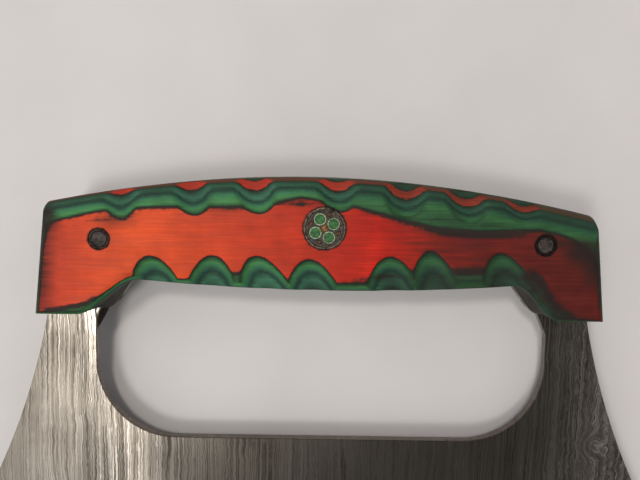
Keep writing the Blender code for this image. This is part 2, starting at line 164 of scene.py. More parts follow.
def face_underside(place):
    """The lower edge at the front of the scale."""
    left = LEFT_COVE_START - LEFT_FACE_LEAD
    right = RIGHT_COVE_START + RIGHT_FACE_SETBACK
    return lower_edge(place, left, LEFT_FACE_RUN, right, RIGHT_FACE_RUN)


print("belly y:", BELLY_Y, "foot y:", round(FOOT_Y, 2))
print("coves start at", round(-LEFT_COVE_START, 2), "and", round(RIGHT_COVE_START, 2))

# %% [markdown]
# ## The carved face of a scale
#
# A scale starts as a flat laminated slab. Its top edge is crowned by an ellipse that gets
# deeper to the right, its lower edge is softly broken, and its ends are rounded. A round
# rasp is then run out over the edge at a tilt, seven times along the crest and seven times
# along the belly. Each cut is a tilted cylinder, and the surface is the deepest of all cuts.
# A small blend where two cuts meet stands for the sanding that follows.

# %% Crown, lower arris and rounded ends
GLUE_FACE = 1.45
SCALE_THICKNESS = FRONT_FACE - GLUE_FACE
CROWN_REACH = 7.84
LEFT_CROWN_SHARE = 0.358
RIGHT_CROWN_SHARE = 0.562
BELLY_ARRIS_REACH = 2.6
BELLY_ARRIS_DROP = 2.3
FOOT_ARRIS = 1.2
END_RADIUS = 2.0
SLOPE_STEP = 0.01


def elliptic_drop(distance, reach, drop):
    """Depth of an elliptical edge: drop * (1 - sqrt(1 - (1 - distance / reach)^2))."""
    inward = np.clip(1 - distance / reach, 0, 1)
    return drop * (1 - np.sqrt(1 - inward ** 2))


def crown_depth(place, below_crest):
    """The crown's ellipse, whose drop grows evenly from the left end to the right end."""
    along = (place + TANG_HALF) / (2 * TANG_HALF)
    share = LEFT_CROWN_SHARE + (RIGHT_CROWN_SHARE - LEFT_CROWN_SHARE) * along
    return elliptic_drop(below_crest, CROWN_REACH, SCALE_THICKNESS * share)


def lean_of_edge(place):
    """How much longer a step up is than one square to the lower edge: sqrt(1 + slope^2)."""
    rise = face_underside(place + SLOPE_STEP) - face_underside(place - SLOPE_STEP)
    return np.hypot(1, rise / (2 * SLOPE_STEP))


def arris_depth(place, above_edge):
    """The lower edge's ellipse, smaller on the feet, measured square to the leaning edge."""
    low = face_underside(place)
    foot = np.clip((low - BELLY_Y) / (FOOT_Y - BELLY_Y), 0, 1) ** 2
    reach = (BELLY_ARRIS_REACH + (FOOT_ARRIS - BELLY_ARRIS_REACH) * foot) * lean_of_edge(place)
    drop = BELLY_ARRIS_DROP + (FOOT_ARRIS - BELLY_ARRIS_DROP) * foot
    return elliptic_drop(above_edge, reach, drop)


def edge_depth(place, y):
    """The slab's depth before grooving: the deepest of crown, lower arris and round ends."""
    to_end = np.minimum(place - FIRST, LAST - place)
    ends = circular_drop(np.maximum(END_RADIUS - to_end, 0), END_RADIUS)
    top = crown_depth(place, crest(place) - y)
    low = arris_depth(place, y - face_underside(place))
    return np.maximum(np.maximum(top, low), ends)


crown_drops = [round(SCALE_THICKNESS * share, 2) for share in (LEFT_CROWN_SHARE, RIGHT_CROWN_SHARE)]
print("crown drop left and right:", crown_drops)

# %% The tilted grooves
# where a cut starts, as a share of half the tang, how far down it reaches, as a share of the
# handle's height, and the degrees that it is tilted and leans
CREST_GROOVE_RADIUS = 8.3
CREST_GROOVES = (
    (-0.703, 0.257, 24.8, 7.7),
    (-0.434, 0.308, 22.2, 11.5),
    (-0.203, 0.320, 23.4, 11.6),
    (0.083, 0.295, 26.3, 5.4),
    (0.312, 0.320, 27.5, -2.0),
    (0.553, 0.289, 30.7, 4.6),
    (0.740, 0.223, 37.5, -4.4),
)
BELLY_GROOVE_RADIUS = 9.2
BELLY_GROOVES = (
    (-0.610, 0.236, 18.8, -11.8),
    (-0.376, 0.288, 18.4, 2.0),
    (-0.234, 0.304, 16.6, -17.6),
    (-0.042, 0.295, 19.2, -9.8),
    (0.251, 0.326, 18.5, -7.1),
    (0.393, 0.373, 12.8, -10.5),
    (0.637, 0.326, 14.6, -17.3),
)
RIM_BLEND = 0.16
CROWN_BLEND = 0.7
UNCUT = -99.0


def groove_depth(x, y, groove, outward, radius):
    """A cylinder laid over the face: (run * sin(tilt) - fall of its circle) / cos(tilt)."""
    place_share, reach_share, tilt_degrees, lean_degrees = groove
    place = place_share * TANG_HALF
    rim = crest(place) if outward > 0 else face_underside(place)
    entry_y = rim - outward * reach_share * HANDLE_HEIGHT
    entry_x = fan(place, entry_y)
    tilt, turn = math.radians(tilt_degrees), math.radians(lean_degrees)
    dx, dy = x - entry_x, outward * (y - entry_y)
    across = dx * math.cos(turn) + dy * math.sin(turn)
    run = dy * math.cos(turn) - dx * math.sin(turn)
    depth = (run * math.sin(tilt) - circular_drop(across, radius)) / math.cos(tilt)
    return np.where(np.abs(across) < radius, depth, UNCUT)


def deeper(a, b, blend):
    """The larger of two depths, with a parabola of the blend's width where they cross."""
    near = np.maximum(blend - np.abs(a - b), 0) / blend
    return np.maximum(a, b) + near ** 2 * blend / 4


def carved_depth(x, y):
    """Depth of the finished surface below the flat face; ridges on the crown are sanded softer."""
    depth = edge_depth(unfan(x, y), y)
    blend = RIM_BLEND + CROWN_BLEND * np.clip(depth, 0, 1)
    for groove in CREST_GROOVES:
        depth = deeper(depth, groove_depth(x, y, groove, 1, CREST_GROOVE_RADIUS), blend)
    for groove in BELLY_GROOVES:
        depth = deeper(depth, groove_depth(x, y, groove, -1, BELLY_GROOVE_RADIUS), RIM_BLEND)
    return depth


print("depth over the middle groove at the crest:", carved_depth(np.array([5.0]), np.array([10.5])))

# %% [markdown]
# ## Putting a grid of points into a mesh
#
# Every new piece is a grid: a function of two parameters gives a point for each row and
# column. The faces are index arithmetic on that grid, so no loop over the vertices is
# needed, and one helper serves a closed ring, a closed section or both.

# %% Grid to mesh
SHARP_TURN = math.radians(32)
MERGE = 1e-7


def new_object(name, data):
    """An object at the origin, put into the scene."""
    item = bpy.data.objects.new(name, data)
    bpy.context.scene.collection.objects.link(item)
    return item


def grid_faces(rows, columns, wrap_rows, wrap_columns):
    """Corner indices of every cell: (i, j), (i + 1, j), (i + 1, j + 1), (i, j + 1)."""
    i = np.arange(rows if wrap_rows else rows - 1)[:, None]
    j = np.arange(columns if wrap_columns else columns - 1)[None, :]
    next_i, next_j = (i + 1) % rows, (j + 1) % columns
    this, following = i * columns, next_i * columns
    corners = [this + j, following + j, following + next_j, this + next_j]
    cells = [np.broadcast_to(corner, (i.size, j.size)) for corner in corners]
    return np.stack(cells, axis=-1).reshape(-1, 4)


def new_piece(name, points, faces, caps=()):
    """A mesh object from plane points and faces, merged, facing outward and smoothly shaded."""
    mesh = bpy.data.meshes.new(name)
    mesh.from_pydata(to_frame(points.reshape(-1, 3)).tolist(), [], faces.tolist() + list(caps))
    shape = bmesh.new()
    shape.from_mesh(mesh)
    bmesh.ops.remove_doubles(shape, verts=shape.verts, dist=MERGE)
    bmesh.ops.dissolve_degenerate(shape, edges=shape.edges, dist=MERGE)
    bmesh.ops.recalc_face_normals(shape, faces=shape.faces)
    shape.to_mesh(mesh)
    shape.free()
    mesh.shade_smooth()
    mesh.set_sharp_from_angle(angle=SHARP_TURN)
    return new_object(name, mesh)


def loft(name, sections):
    """Closed sections in a row, joined by a grid and closed by a flat cap at both ends."""
    rows, columns = sections.shape[:2]
    first = tuple(range(columns))
    last = tuple(range((rows - 1) * columns, rows * columns))
    return new_piece(name, sections, grid_faces(rows, columns, False, True), (first, last))


def report(piece):
    """Print a piece's count of triangles and its size."""
    triangles = sum(len(face.vertices) - 2 for face in piece.data.polygons)
    size = [round(side / MM, 2) for side in piece.dimensions]
    print(piece.name, triangles, "triangles,", size, "mm")


print("grid helpers ready")

# %% [markdown]
# ## The scales
#
# The real scale is a slab of dyed birch veneers in resin, glued to the tang and carved. It
# could be cut with Booleans as in the CAD part, but a grid worked out from the depth formula
# follows every groove closely and lets the coloured plies show as even bands. Each section
# runs up the lower wall, over the face and down the top wall.

# %% Sections of a scale
COLUMN_STEP = 0.34
END_COLUMNS = 8
FACE_ROWS = 112
WALL_ROWS = 5


def scale_columns():
    """Places of the sections: even steps, but eased by a cosine inside the rounded ends."""
    eased = END_RADIUS * (1 - np.cos(np.pi / 2 * np.arange(END_COLUMNS) / END_COLUMNS))
    count = round((LAST - FIRST - 2 * END_RADIUS) / COLUMN_STEP)
    middle = np.linspace(FIRST + END_RADIUS, LAST - END_RADIUS, count + 1)
    return np.concatenate([FIRST + eased, middle, (LAST - eased)[::-1]])


def scale_sections(side):
    """Points of every section: lower wall, face between its two edges, and top wall."""
    place = scale_columns()[:, None]
    low, top, tang = face_underside(place), crest(place), tang_underside(place)
    share = half_wave(np.linspace(0, 1, FACE_ROWS))[None, :]
    face_y = low + (top - low) * share
    face_z = FRONT_FACE - carved_depth(fan(place, face_y), face_y)
    wall = np.linspace(0, 1, WALL_ROWS, endpoint=False)[None, :]
    lower_y = tang + (face_y[:, :1] - tang) * wall
    lower_z = GLUE_FACE + (face_z[:, :1] - GLUE_FACE) * wall
    upper_y = np.repeat(top, WALL_ROWS, axis=1)
    upper_z = (GLUE_FACE + (face_z[:, -1:] - GLUE_FACE) * wall)[:, ::-1]
    y = np.concatenate([lower_y, face_y, upper_y], axis=1)
    z = np.concatenate([lower_z, face_z, upper_z], axis=1)
    return np.stack([fan(place, y), y, side * z], axis=-1)


front_scale = loft("carved_front_scale", scale_sections(1))
back_scale = loft("carved_back_scale", scale_sections(-1))
report(front_scale)
report(back_scale)

# %% [markdown]
# ## Drilling for the pins
#
# The pins run right through both scales and the tang. A Boolean with a round cutter is the
# plain way to drill, and the cutter is thrown away afterwards. The hole is a little wider
# than the pin, which leaves the thin dark ring of resin that shows round a real pin.

# %% Drill
PIN_CENTERS = {"left": (-49.25, -PIN_DROP), "mosaic": (1.35, 0.0), "right": (51.05, -PIN_DROP)}
END_PIN_RADIUS = 2.38
MOSAIC_RADIUS = 4.7625
PIN_CLEARANCE = 0.1
DRILL_SIDES = 64


def round_bar(name, center, radius, half_length, sides=DRILL_SIDES):
    """A closed bar across the knife's plane: center + radius * (cos(turn), sin(turn))."""
    turn = np.linspace(0, 2 * np.pi, sides, endpoint=False)[None, :]
    z = np.array([-half_length, half_length])[:, None]
    x = center[0] + radius * np.cos(turn) + 0 * z
    y = center[1] + radius * np.sin(turn) + 0 * z
    return loft(name, np.stack([x, y, z + 0 * turn], axis=-1))


def drill(piece, holes, half_length=2 * FRONT_FACE):
    """Cut round holes, given as a center and a radius each, and keep the result as the mesh."""
    for number, (center, radius) in enumerate(holes):
        bar = round_bar(f"drill_{number}", center, radius, half_length)
        modifier = piece.modifiers.new("drill", "BOOLEAN")
        modifier.operation = "DIFFERENCE"
        modifier.solver = "EXACT"
        modifier.object = bar
        graph = bpy.context.evaluated_depsgraph_get()
        mesh = bpy.data.meshes.new_from_object(piece.evaluated_get(graph))
        piece.modifiers.clear()
        piece.data = mesh
        bpy.data.objects.remove(bar)
    mesh.shade_smooth()
    mesh.set_sharp_from_angle(angle=SHARP_TURN)


pin_holes = [
    (PIN_CENTERS["left"], END_PIN_RADIUS + PIN_CLEARANCE),
    (PIN_CENTERS["mosaic"], MOSAIC_RADIUS + PIN_CLEARANCE),
    (PIN_CENTERS["right"], END_PIN_RADIUS + PIN_CLEARANCE),
]
for scale in (front_scale, back_scale):
    drill(scale, pin_holes)
    report(scale)

# %% [markdown]
# ## The blade
#
# Blade, arms and tang are one plate of pattern-welded steel round the finger window. Seen
# from the middle of the window, both the window's edge and the outer edge go round once, so
# the plate is a grid: a turn round the window, and a share of the way from inner to outer
# edge. Rows are placed where the bevels start, so that the ground faces have true creases.

# %% Outline of window and blade
BLADE_TIP_X = 88.0
OVERALL_HEIGHT = 127.0
EDGE_RADIUS = 125.6
FLARE_RADIUS = 169.0
WINDOW_DEPTH = 38.35
WINDOW_CORNER_RADIUS = 19.2
LEFT_ARM = 11.25
RIGHT_ARM = 9.45
NECK_DROP = 5.4
LONG_STEPS = 180
SIDE_STEPS = 40
EDGE_STEPS = 240
CORNER_STEPS = 36
EDGE_CENTER_Y = CREST_ABOVE_PIN - OVERALL_HEIGHT + EDGE_RADIUS
WINDOW_MIDDLE = np.array([0.9, -33.0])


def arc(center, radius, start, end, steps):
    """Points of an arc: center + radius * (cos(turn), sin(turn)), from start to end."""
    turn = np.linspace(start, end, steps + 1)
    return np.array(center) + radius * np.stack([np.cos(turn), np.sin(turn)], axis=-1)


def flared_side(shoulder, tip):
    """The hollow side: the arc through shoulder and tip whose center lies outside."""
    chord, middle = tip - shoulder, (tip + shoulder) / 2
    half = np.hypot(*chord) / 2
    outward = np.array([-chord[1], chord[0]]) / (2 * half)
    center = middle + outward * math.sqrt(FLARE_RADIUS ** 2 - half ** 2)
    turns = [math.atan2(*(point - center)[::-1]) % (2 * math.pi) for point in (shoulder, tip)]
    return arc(center, FLARE_RADIUS, *turns, SIDE_STEPS)


def outer_loop():
    """Crest of the tang, right side, cutting arc and left side, clockwise."""
    place = np.linspace(-TANG_HALF, TANG_HALF, LONG_STEPS + 1)
    crest_y = crest(place, -TANG_HALF, TANG_HALF)
    top = np.stack([fan(place, crest_y), crest_y], axis=-1)
    tip = np.array([BLADE_TIP_X, EDGE_CENTER_Y - math.sqrt(EDGE_RADIUS ** 2 - BLADE_TIP_X ** 2)])
    right = flared_side(np.array([fan(TANG_HALF, FOOT_Y), FOOT_Y]), tip)
    half_turn = math.asin(BLADE_TIP_X / EDGE_RADIUS)
    ends = -math.pi / 2 + half_turn, -math.pi / 2 - half_turn
    edge = arc((0, EDGE_CENTER_Y), EDGE_RADIUS, *ends, EDGE_STEPS)
    left = right[::-1] * [-1, 1]
    return np.concatenate([top, right, edge[1:-1], left])


def window_loop():
    """The finger window: underside of the tang, two necks and two large corners, clockwise."""
    ends = -LEFT_COVE_START - COVE_RUN, RIGHT_COVE_START + COVE_RUN
    place = np.linspace(*ends, LONG_STEPS + 1)
    under = tang_underside(place)
    ceiling = np.stack([fan(place, under), under], axis=-1)
    shoulder_x = fan(TANG_HALF, FOOT_Y)
    left_x, right_x = LEFT_ARM - shoulder_x, shoulder_x - RIGHT_ARM
    floor_y, radius = BELLY_Y - WINDOW_DEPTH, WINDOW_CORNER_RADIUS
    middle_y = floor_y + radius
    right = arc((right_x - radius, middle_y), radius, 0.0, -math.pi / 2, CORNER_STEPS)
    left = arc((left_x + radius, middle_y), radius, -math.pi / 2, -math.pi, CORNER_STEPS)
    neck_y = FOOT_Y - NECK_DROP
    return np.concatenate([ceiling, [[right_x, neck_y]], right, left, [[left_x, neck_y]]])


print("corners of the loops:", len(outer_loop()), len(window_loop()))

# %% Grid of the blade
PLATE_HALF = 1.25
GRIND_WIDTH = 14.0
SHARPENED_WIDTH = 1.3
SHARPENED_HALF = 0.35
EDGE_HALF = 0.1
EDGE_BREAK = 0.12
CREASE_MARGIN = 0.12
FLAT_ROWS = 5
GROUND_ROWS = 3
BLADE_SHARP_TURN = math.radians(20)


def plate_half(radius):
    """Half thickness at a distance from the edge's center: flat, ground, then sharpened."""
    stops = [EDGE_RADIUS - GRIND_WIDTH, EDGE_RADIUS - SHARPENED_WIDTH, EDGE_RADIUS]
    return np.interp(radius, stops, [PLATE_HALF, SHARPENED_HALF, EDGE_HALF])


def turn_of(loop):
    """Angle of each point of a loop, seen from the middle of the window."""
    return np.arctan2(loop[:, 1] - WINDOW_MIDDLE[1], loop[:, 0] - WINDOW_MIDDLE[0])


def at_turns(loop, turns):
    """The loop's points at given angles, by straight interpolation between its corners."""
    own = turn_of(loop)
    order = np.argsort(own)
    sides = [np.interp(turns, own[order], side, period=2 * np.pi) for side in loop[order].T]
    return np.stack(sides, axis=-1)


def reach_share(inner, outer, radius):
    """Share of the way out at which the line from inner to outer is this far from the center."""
    start = inner - [0, EDGE_CENTER_Y]
    step = outer - inner
    a = (step ** 2).sum(-1)
    b = (start * step).sum(-1)
    c = (start ** 2).sum(-1) - radius ** 2
    return (-b + np.sqrt(np.maximum(b ** 2 - a * c, 0))) / a


def blade_sections():
    """Closed sections round the window: front rows out, then the same rows back behind."""
    turns = np.unique(np.concatenate([turn_of(outer_loop()), turn_of(window_loop())]))
    inner, outer = at_turns(window_loop(), turns), at_turns(outer_loop(), turns)
    length = np.hypot(*(outer - inner).T)
    rim = plate_half(np.hypot(outer[:, 0], outer[:, 1] - EDGE_CENTER_Y))
    first = EDGE_BREAK / length
    last = 1 - np.minimum(EDGE_BREAK, rim / 2) / length
    margin = CREASE_MARGIN / length
    grind = reach_share(inner, outer, EDGE_RADIUS - GRIND_WIDTH)
    sharp = reach_share(inner, outer, EDGE_RADIUS - SHARPENED_WIDTH)
    flat = np.linspace(first, grind - margin, FLAT_ROWS + 1)
    ground = np.linspace(grind + margin, sharp - margin, GROUND_ROWS + 1)
    rows = [first * 0, *flat, grind, *ground, sharp, sharp + margin, last]
    share = np.stack([np.clip(row, 0, last) for row in rows] + [1 + 0 * last], axis=1)
    xy = inner[:, None] + (outer - inner)[:, None] * share[..., None]
    z = plate_half(np.hypot(xy[..., 0], xy[..., 1] - EDGE_CENTER_Y))
    z[:, 0] = PLATE_HALF - EDGE_BREAK
    z[:, -1] = rim - np.minimum(EDGE_BREAK, rim / 2)
    front = np.concatenate([xy, z[..., None]], axis=-1)
    return np.concatenate([front, front[:, ::-1] * [1, 1, -1]], axis=1)


sections = blade_sections()
blade = new_piece("forged_blade", sections, grid_faces(*sections.shape[:2], True, True))
blade.data.set_sharp_from_angle(angle=BLADE_SHARP_TURN)
report(blade)
drill(blade, pin_holes)
report(blade)

# %% [markdown]
# ## The pins
#
# A pin is a stack of rods and tubes set in dark resin, then sanded with the scale. Each one
# is a profile carried round its axis. Its ends follow the carved surface, because the middle
# pin was ground together with the groove beside it, and metal stands a hair above the resin.

# %% Turned pins
RIM_ROUND = 0.05
CORE_STEPS = 4
METAL_PROUD = 0.02
RESIN_SUNK = -0.03
PIN_SIDES = 40


def turned(name, center, outer, inner=0.0, proud=METAL_PROUD, sides=PIN_SIDES):
    """A tube or rod: rings at (radius, end, inset), closed, with ends on the carved surface."""
    inside = inner + RIM_ROUND if inner else 0.0
    across = np.linspace(outer - RIM_ROUND, inside, CORE_STEPS)
    radii = np.concatenate([[outer], across, [inner] if inner else []])
    inset = np.zeros(len(radii))
    inset[0] = RIM_ROUND
    if inner:
        inset[-1] = RIM_ROUND
    radii = np.concatenate([radii, radii[::-1]])
    end = np.repeat([1, -1], len(inset))
    inset = np.concatenate([inset, inset[::-1]])
    turn = np.linspace(0, 2 * np.pi, sides, endpoint=False)[:, None]
    x = center[0] + radii * np.cos(turn)
    y = center[1] + radii * np.sin(turn)
    z = end * (FRONT_FACE + proud - inset - carved_depth(x, y))
    points = np.stack([x, y, z], axis=-1)
    return new_piece(name, points, grid_faces(sides, len(radii), True, bool(inner)))


END_WALL = 0.6
CORE_GAP = 0.06
end_pins = {}
for side in ("left", "right"):
    bore = END_PIN_RADIUS - END_WALL
    center = PIN_CENTERS[side]
    wall = turned(f"{side}_pin_wall", center, END_PIN_RADIUS, bore)
    core = turned(f"{side}_pin_middle", center, bore - CORE_GAP, proud=RESIN_SUNK)
    end_pins |= {f"{side}_pin_tube": wall, f"{side}_pin_core": core}
for piece in end_pins.values():
    report(piece)

# %% [markdown]
# The middle pin holds four tubes with green cores round one copper rod, and four thin copper
# rods in the hollows between them. Where each stands follows from circles that touch.

# %% Mosaic pin
MOSAIC_WALL = 0.5
MOSAIC_TURN = math.radians(26.6)
FILLER_MARGIN = 0.58
TUBE_SPACING = 0.4
TUBE_WALL = 0.3
THIN_ROD_RADIUS = 0.45
THIN_ROD_SIDES = 24
WIDE_SIDES = 72

bore_radius = MOSAIC_RADIUS - MOSAIC_WALL
spacing = TUBE_SPACING / math.sqrt(2)
tube_radius = (bore_radius - FILLER_MARGIN - spacing) / (1 + math.sqrt(2))
tube_pitch = math.sqrt(2) * tube_radius + spacing
middle_radius = tube_pitch - tube_radius - 2 * CORE_GAP
reach_out = bore_radius + tube_radius
thin_pitch = (reach_out ** 2 - tube_pitch ** 2) / (2 * reach_out - math.sqrt(2) * tube_pitch)


def around(radius, turn):
    """A point at a distance and angle from the middle pin's axis."""
    center = PIN_CENTERS["mosaic"]
    return center[0] + radius * math.cos(turn), center[1] + radius * math.sin(turn)


middle = PIN_CENTERS["mosaic"]
outer_wall = turned("mosaic_wall", middle, MOSAIC_RADIUS, bore_radius, sides=WIDE_SIDES)
mosaic = {"mosaic_outer_tube": outer_wall}
filler_holes = [(middle, middle_radius + CORE_GAP)]
for number in range(1, 5):
    turn = MOSAIC_TURN + math.pi / 2 * (number - 1)
    place, thin_place = around(tube_pitch, turn), around(thin_pitch, turn + math.pi / 4)
    filler_holes += [(place, tube_radius + CORE_GAP), (thin_place, THIN_ROD_RADIUS + CORE_GAP)]
    ring = turned(f"mosaic_ring_{number}", place, tube_radius, tube_radius - TUBE_WALL)
    core_radius = tube_radius - TUBE_WALL - CORE_GAP
    core = turned(f"mosaic_green_{number}", place, core_radius, proud=0.0)
    rod = turned(f"mosaic_thin_rod_{number}", thin_place, THIN_ROD_RADIUS, sides=THIN_ROD_SIDES)
    for kind, piece in (("tube", ring), ("core", core), ("rod", rod)):
        mosaic[f"mosaic_{kind}_{number}"] = piece
mosaic["mosaic_center_rod"] = turned("mosaic_middle_rod", middle, middle_radius)
filler = turned("mosaic_resin", middle, bore_radius - CORE_GAP, proud=RESIN_SUNK, sides=WIDE_SIDES)
drill(filler, filler_holes)
mosaic["mosaic_filler"] = filler
print("tube radius, pitch, thin pitch:", tube_radius, tube_pitch, thin_pitch)

# %% [markdown]
# ## The glue line
#
# Between tang and scale lies a thin line of epoxy. A little of it is squeezed out when the
# scales are clamped, and in the coves it is left as a pale uneven bead. It is a small
# section carried round the scale's outline.

# %% Glue lines
GLUE_FROM = 1.25
GLUE_INSET = 0.8
GLUE_SWELL = 0.10
LEAST_SWELL = 0.2
# the bead's two waves: their share of its width each, and their turn in radians for each mm
WAVE_SHARE = 0.25
LONG_WAVE = 1.9
SHORT_WAVE = 4.3
GLUE_COLUMNS = 260
GLUE_SIDES = 12
COVE_TOP = -14.6
COVE_BLEND = 2.0


def glue_outline():
    """Outline of the glued face: crest, right end, underside and left end, clockwise."""
    place = np.linspace(FIRST, LAST, GLUE_COLUMNS)
    top, under = crest(place), tang_underside(place)
    crest_line, under_line = [np.stack([fan(place, y), y], axis=-1) for y in (top, under)]
    return np.concatenate([crest_line, under_line[::-1]])


def glue_sections(side):
    """A flat oval at every corner of the outline, whose outer side swells in the coves by half
    plus two quarter waves of sin(x)."""
    line = glue_outline()
    step = np.roll(line, -1, axis=0) - np.roll(line, 1, axis=0)
    step /= np.hypot(*step.T)[:, None]
    outward = np.stack([-step[:, 1], step[:, 0]], axis=-1)
    x, y = line.T
    uneven = 0.5 + WAVE_SHARE * np.sin(x * LONG_WAVE) + WAVE_SHARE * np.sin(x * SHORT_WAVE + y)
    cove = np.clip((COVE_TOP - y) / COVE_BLEND, 0, 1)
    swell = GLUE_SWELL * (LEAST_SWELL + (1 - LEAST_SWELL) * uneven * cove)
    turn = np.linspace(0, 2 * np.pi, GLUE_SIDES, endpoint=False)
    middle = (GLUE_FROM + GLUE_FACE) / 2
    half = (GLUE_FACE - GLUE_FROM) / 2
    across = np.cos(turn) * np.where(np.cos(turn) > 0, swell[:, None], GLUE_INSET)
    xy = line[:, None] + outward[:, None] * across[..., None]
    z = side * (middle + half * np.sin(turn)) + 0 * across
    return np.concatenate([xy, z[..., None]], axis=-1)


glue_lines = []
for name, side in (("glue_line_front", 1), ("glue_line_back", -1)):
    sections = glue_sections(side)
    glue_lines.append(new_piece(name, sections, grid_faces(*sections.shape[:2], True, True)))
    report(glue_lines[-1])

# %% [markdown]
# ## Materials
#
# Each material is a small network of nodes on Object coordinates, turned into the knife's
# plane, so a pattern keeps its place on the piece. Colours are written as they look on a
# screen and turned to linear values by one function, and one function adds every node. The
# four numbers after the input of a MapRange are the range it reads and the range it gives. A
# Mix node takes its share at input 0 and two colours at 6 and 7, and gives one at output 2.

# %% Helpers for materials
COLORS = {"out": 2, "data_type": "RGBA"}


def linear(code):
    """sRGB hex to linear: ((c + 0.055) / 1.055)^2.4 above 0.04045, else c / 12.92."""
    parts = [int(code[i:i + 2], 16) / 255 for i in (1, 3, 5)]
    return (*[((c + 0.055) / 1.055) ** 2.4 if c > 0.04045 else c / 12.92 for c in parts], 1.0)


def fill(node, inputs):
    """Link or set the inputs of a node, given by name or number, or in a row from the first."""
    for name, value in (inputs if isinstance(inputs, dict) else dict(enumerate(inputs))).items():
        if isinstance(value, bpy.types.NodeSocket):
            node.id_data.links.new(value, node.inputs[name])
        else:
            node.inputs[name].default_value = value


def add(tree, kind, inputs=(), stops=(), out=0, **settings):
    """Add a node of a kind, which may be followed by its operation, with its settings, values
    and links, and return one output; stops fill a ramp."""
    kind, *operation = kind.split()
    node = tree.nodes.new("ShaderNode" + kind)
    if operation:
        node.operation = operation[0]
    for name, value in settings.items():
        setattr(node, name, value)
    fill(node, inputs)
    for number, (position, color) in enumerate(stops):
        elements = node.color_ramp.elements
        element = elements[number] if number < 2 else elements.new(position)
        element.position = position
        element.color = linear(color) if isinstance(color, str) else (color, color, color, 1.0)
    return node.outputs[out]


def new_material(name):
    """An empty material, add for its own tree, its shader, and coordinates in the plane."""
    material = bpy.data.materials.new(name)
    material.use_nodes = True
    node = partial(add, material.node_tree)
    where = node("TexCoord", out="Object")
    moved = node("VectorMath SUBTRACT", [where, tuple(plane_origin)])
    turned_back = node("Mapping", {0: moved, "Rotation": (-lean, 0, 0)})
    return material, node, material.node_tree.nodes["Principled BSDF"], turned_back


def per_mm(spacing):
    """Scale of a pattern on metres whose features are this many millimetres apart."""
    return 1 / (spacing * MM)


print("a mid grey is", linear("#808080")[0])

# %% [markdown]
# ## Which veneer shows where
#
# The scales are dyed veneers about 1.1 mm thick in dark resin. Which one shows depends on how
# deep the surface was cut, so each vertex keeps its depth in the stack as an attribute. Along
# the crest and the belly the sander also went through the thin red face veneer. That line
# isn't a contour of the carving, so it is drawn as its own curve and blended in beside it.

# %% Lines where the face veneer was sanded through
FACE_PLY = 0.5
SANDED = 0.38
# place along the handle and distance from the edge there, or the width of the fade
CREST_LINE = np.array([
    (-62, 4.95), (-50.5, 4.35), (-37, 5.0), (-21, 6.3), (-13, 6.3), (-4, 4.45), (8.2, 6.1),
    (18.4, 8.3), (27.4, 9.4), (36.4, 8.8), (49.9, 6.05), (54.4, 6.0), (57.7, 6.65), (61, 8.15),
    (62.6, 10.45),
])
CREST_FADE = np.array([
    (-62, 2.5), (0, 1.8), (13, 1.4), (22, 2.0), (30, 3.2), (40, 3.0), (60, 5.5),
])
BELLY_LINE = np.array([
    (-62, 0.7), (-57, 1.4), (-54.7, 1.9), (-52.5, 2.1), (-50.4, 1.8), (-48.2, 1.3), (-46, 1.1),
    (-43.5, 1.1), (-41, 1.3), (-30, 1.4), (-17, 3.5), (-7, 2.2), (4, 2.0), (12.7, 2.2), (20, 3.6),
    (31, 3.9), (36, 3.9), (44, 2.7), (47, 2.4), (50.3, 3.3), (52, 3.1), (54.2, 2.3), (57.2, 0.8),
    (62, 0.5),
])
BELLY_FADE = np.array([(-50, 1.4), (0, 1.4), (20, 3.0), (62, 3.0)])
BELLY_SHALLOWER = 0.4
BELLY_SHALLOW_REACH = 4.5
SHALLOW_FULL_DEPTH = 1.5
LINE_CLIMB = 0.30
CLIMB_REACH = 0.9
LEFT_END_LINE = np.array([(-20, 1.2), (-7, 1.2), (-2, 1.6), (2, 2.0)])
LEFT_END_FADE = 1.6
RIGHT_END_LINE = 0.7
RIGHT_END_FADE = 0.6


def along_curve(curve, place):
    """Value of a drawn curve at a place, by straight interpolation between its points."""
    return np.interp(place, curve[:, 0], curve[:, 1])


def worn(distance, line, fade, depth_at_line):
    """Added depth: full on the line, half a wave to none inside it, and outside it a quick climb
    into the next veneer that eases off linearly to the edge."""
    at_line = FACE_PLY - SANDED - depth_at_line
    outside = np.clip(distance / line, 0, 1)
    climb = LINE_CLIMB * half_wave((line - distance) / CLIMB_REACH)
    inside = 1 - half_wave((distance - line) / fade)
    return np.where(distance < line, (at_line + climb) * outside, at_line * inside)


def ends_worn(place, y):
    """The same at both ends of the handle, where the round edge falls like a circle."""
    left = along_curve(LEFT_END_LINE, y)
    left_fall = circular_drop(END_RADIUS - left, END_RADIUS)
    right_fall = circular_drop(END_RADIUS - RIGHT_END_LINE, END_RADIUS)
    at_left = worn(place - FIRST, left, LEFT_END_FADE, left_fall)
    return at_left + worn(LAST - place, RIGHT_END_LINE, RIGHT_END_FADE, right_fall)


print("sanded face veneer:", SANDED, "of", FACE_PLY, "mm")

# %% Depth in the stack, and where a groove was cut
GROOVE_BLEND = 0.3
# where the face veneer is nearly through: x, y, half length, half height, strength
THIN_SPOTS = ((-44.2, 2.9, 1.8, 1.3, 1.0), (-43.8, 1.9, 1.1, 0.7, 0.5))
THIN_DEPTH = 0.22


def soft_spots(spots, x, y):
    """1 minus the product of what every soft oval leaves: 1 - strength * exp(-distance^2)."""
    middle_x, middle_y, length, height, strength = np.array(spots).T
    far = ((x[:, None] - middle_x) / length) ** 2 + ((y[:, None] - middle_y) / height) ** 2
    return 1 - np.prod(1 - strength * np.exp(-far), axis=1)


def cut_share(place, x, y):
    """1 inside a groove and 0 outside: the groove's depth below the slab's edge, over a blend."""
    return np.clip((carved_depth(x, y) - edge_depth(place, y)) / GROOVE_BLEND, 0, 1)


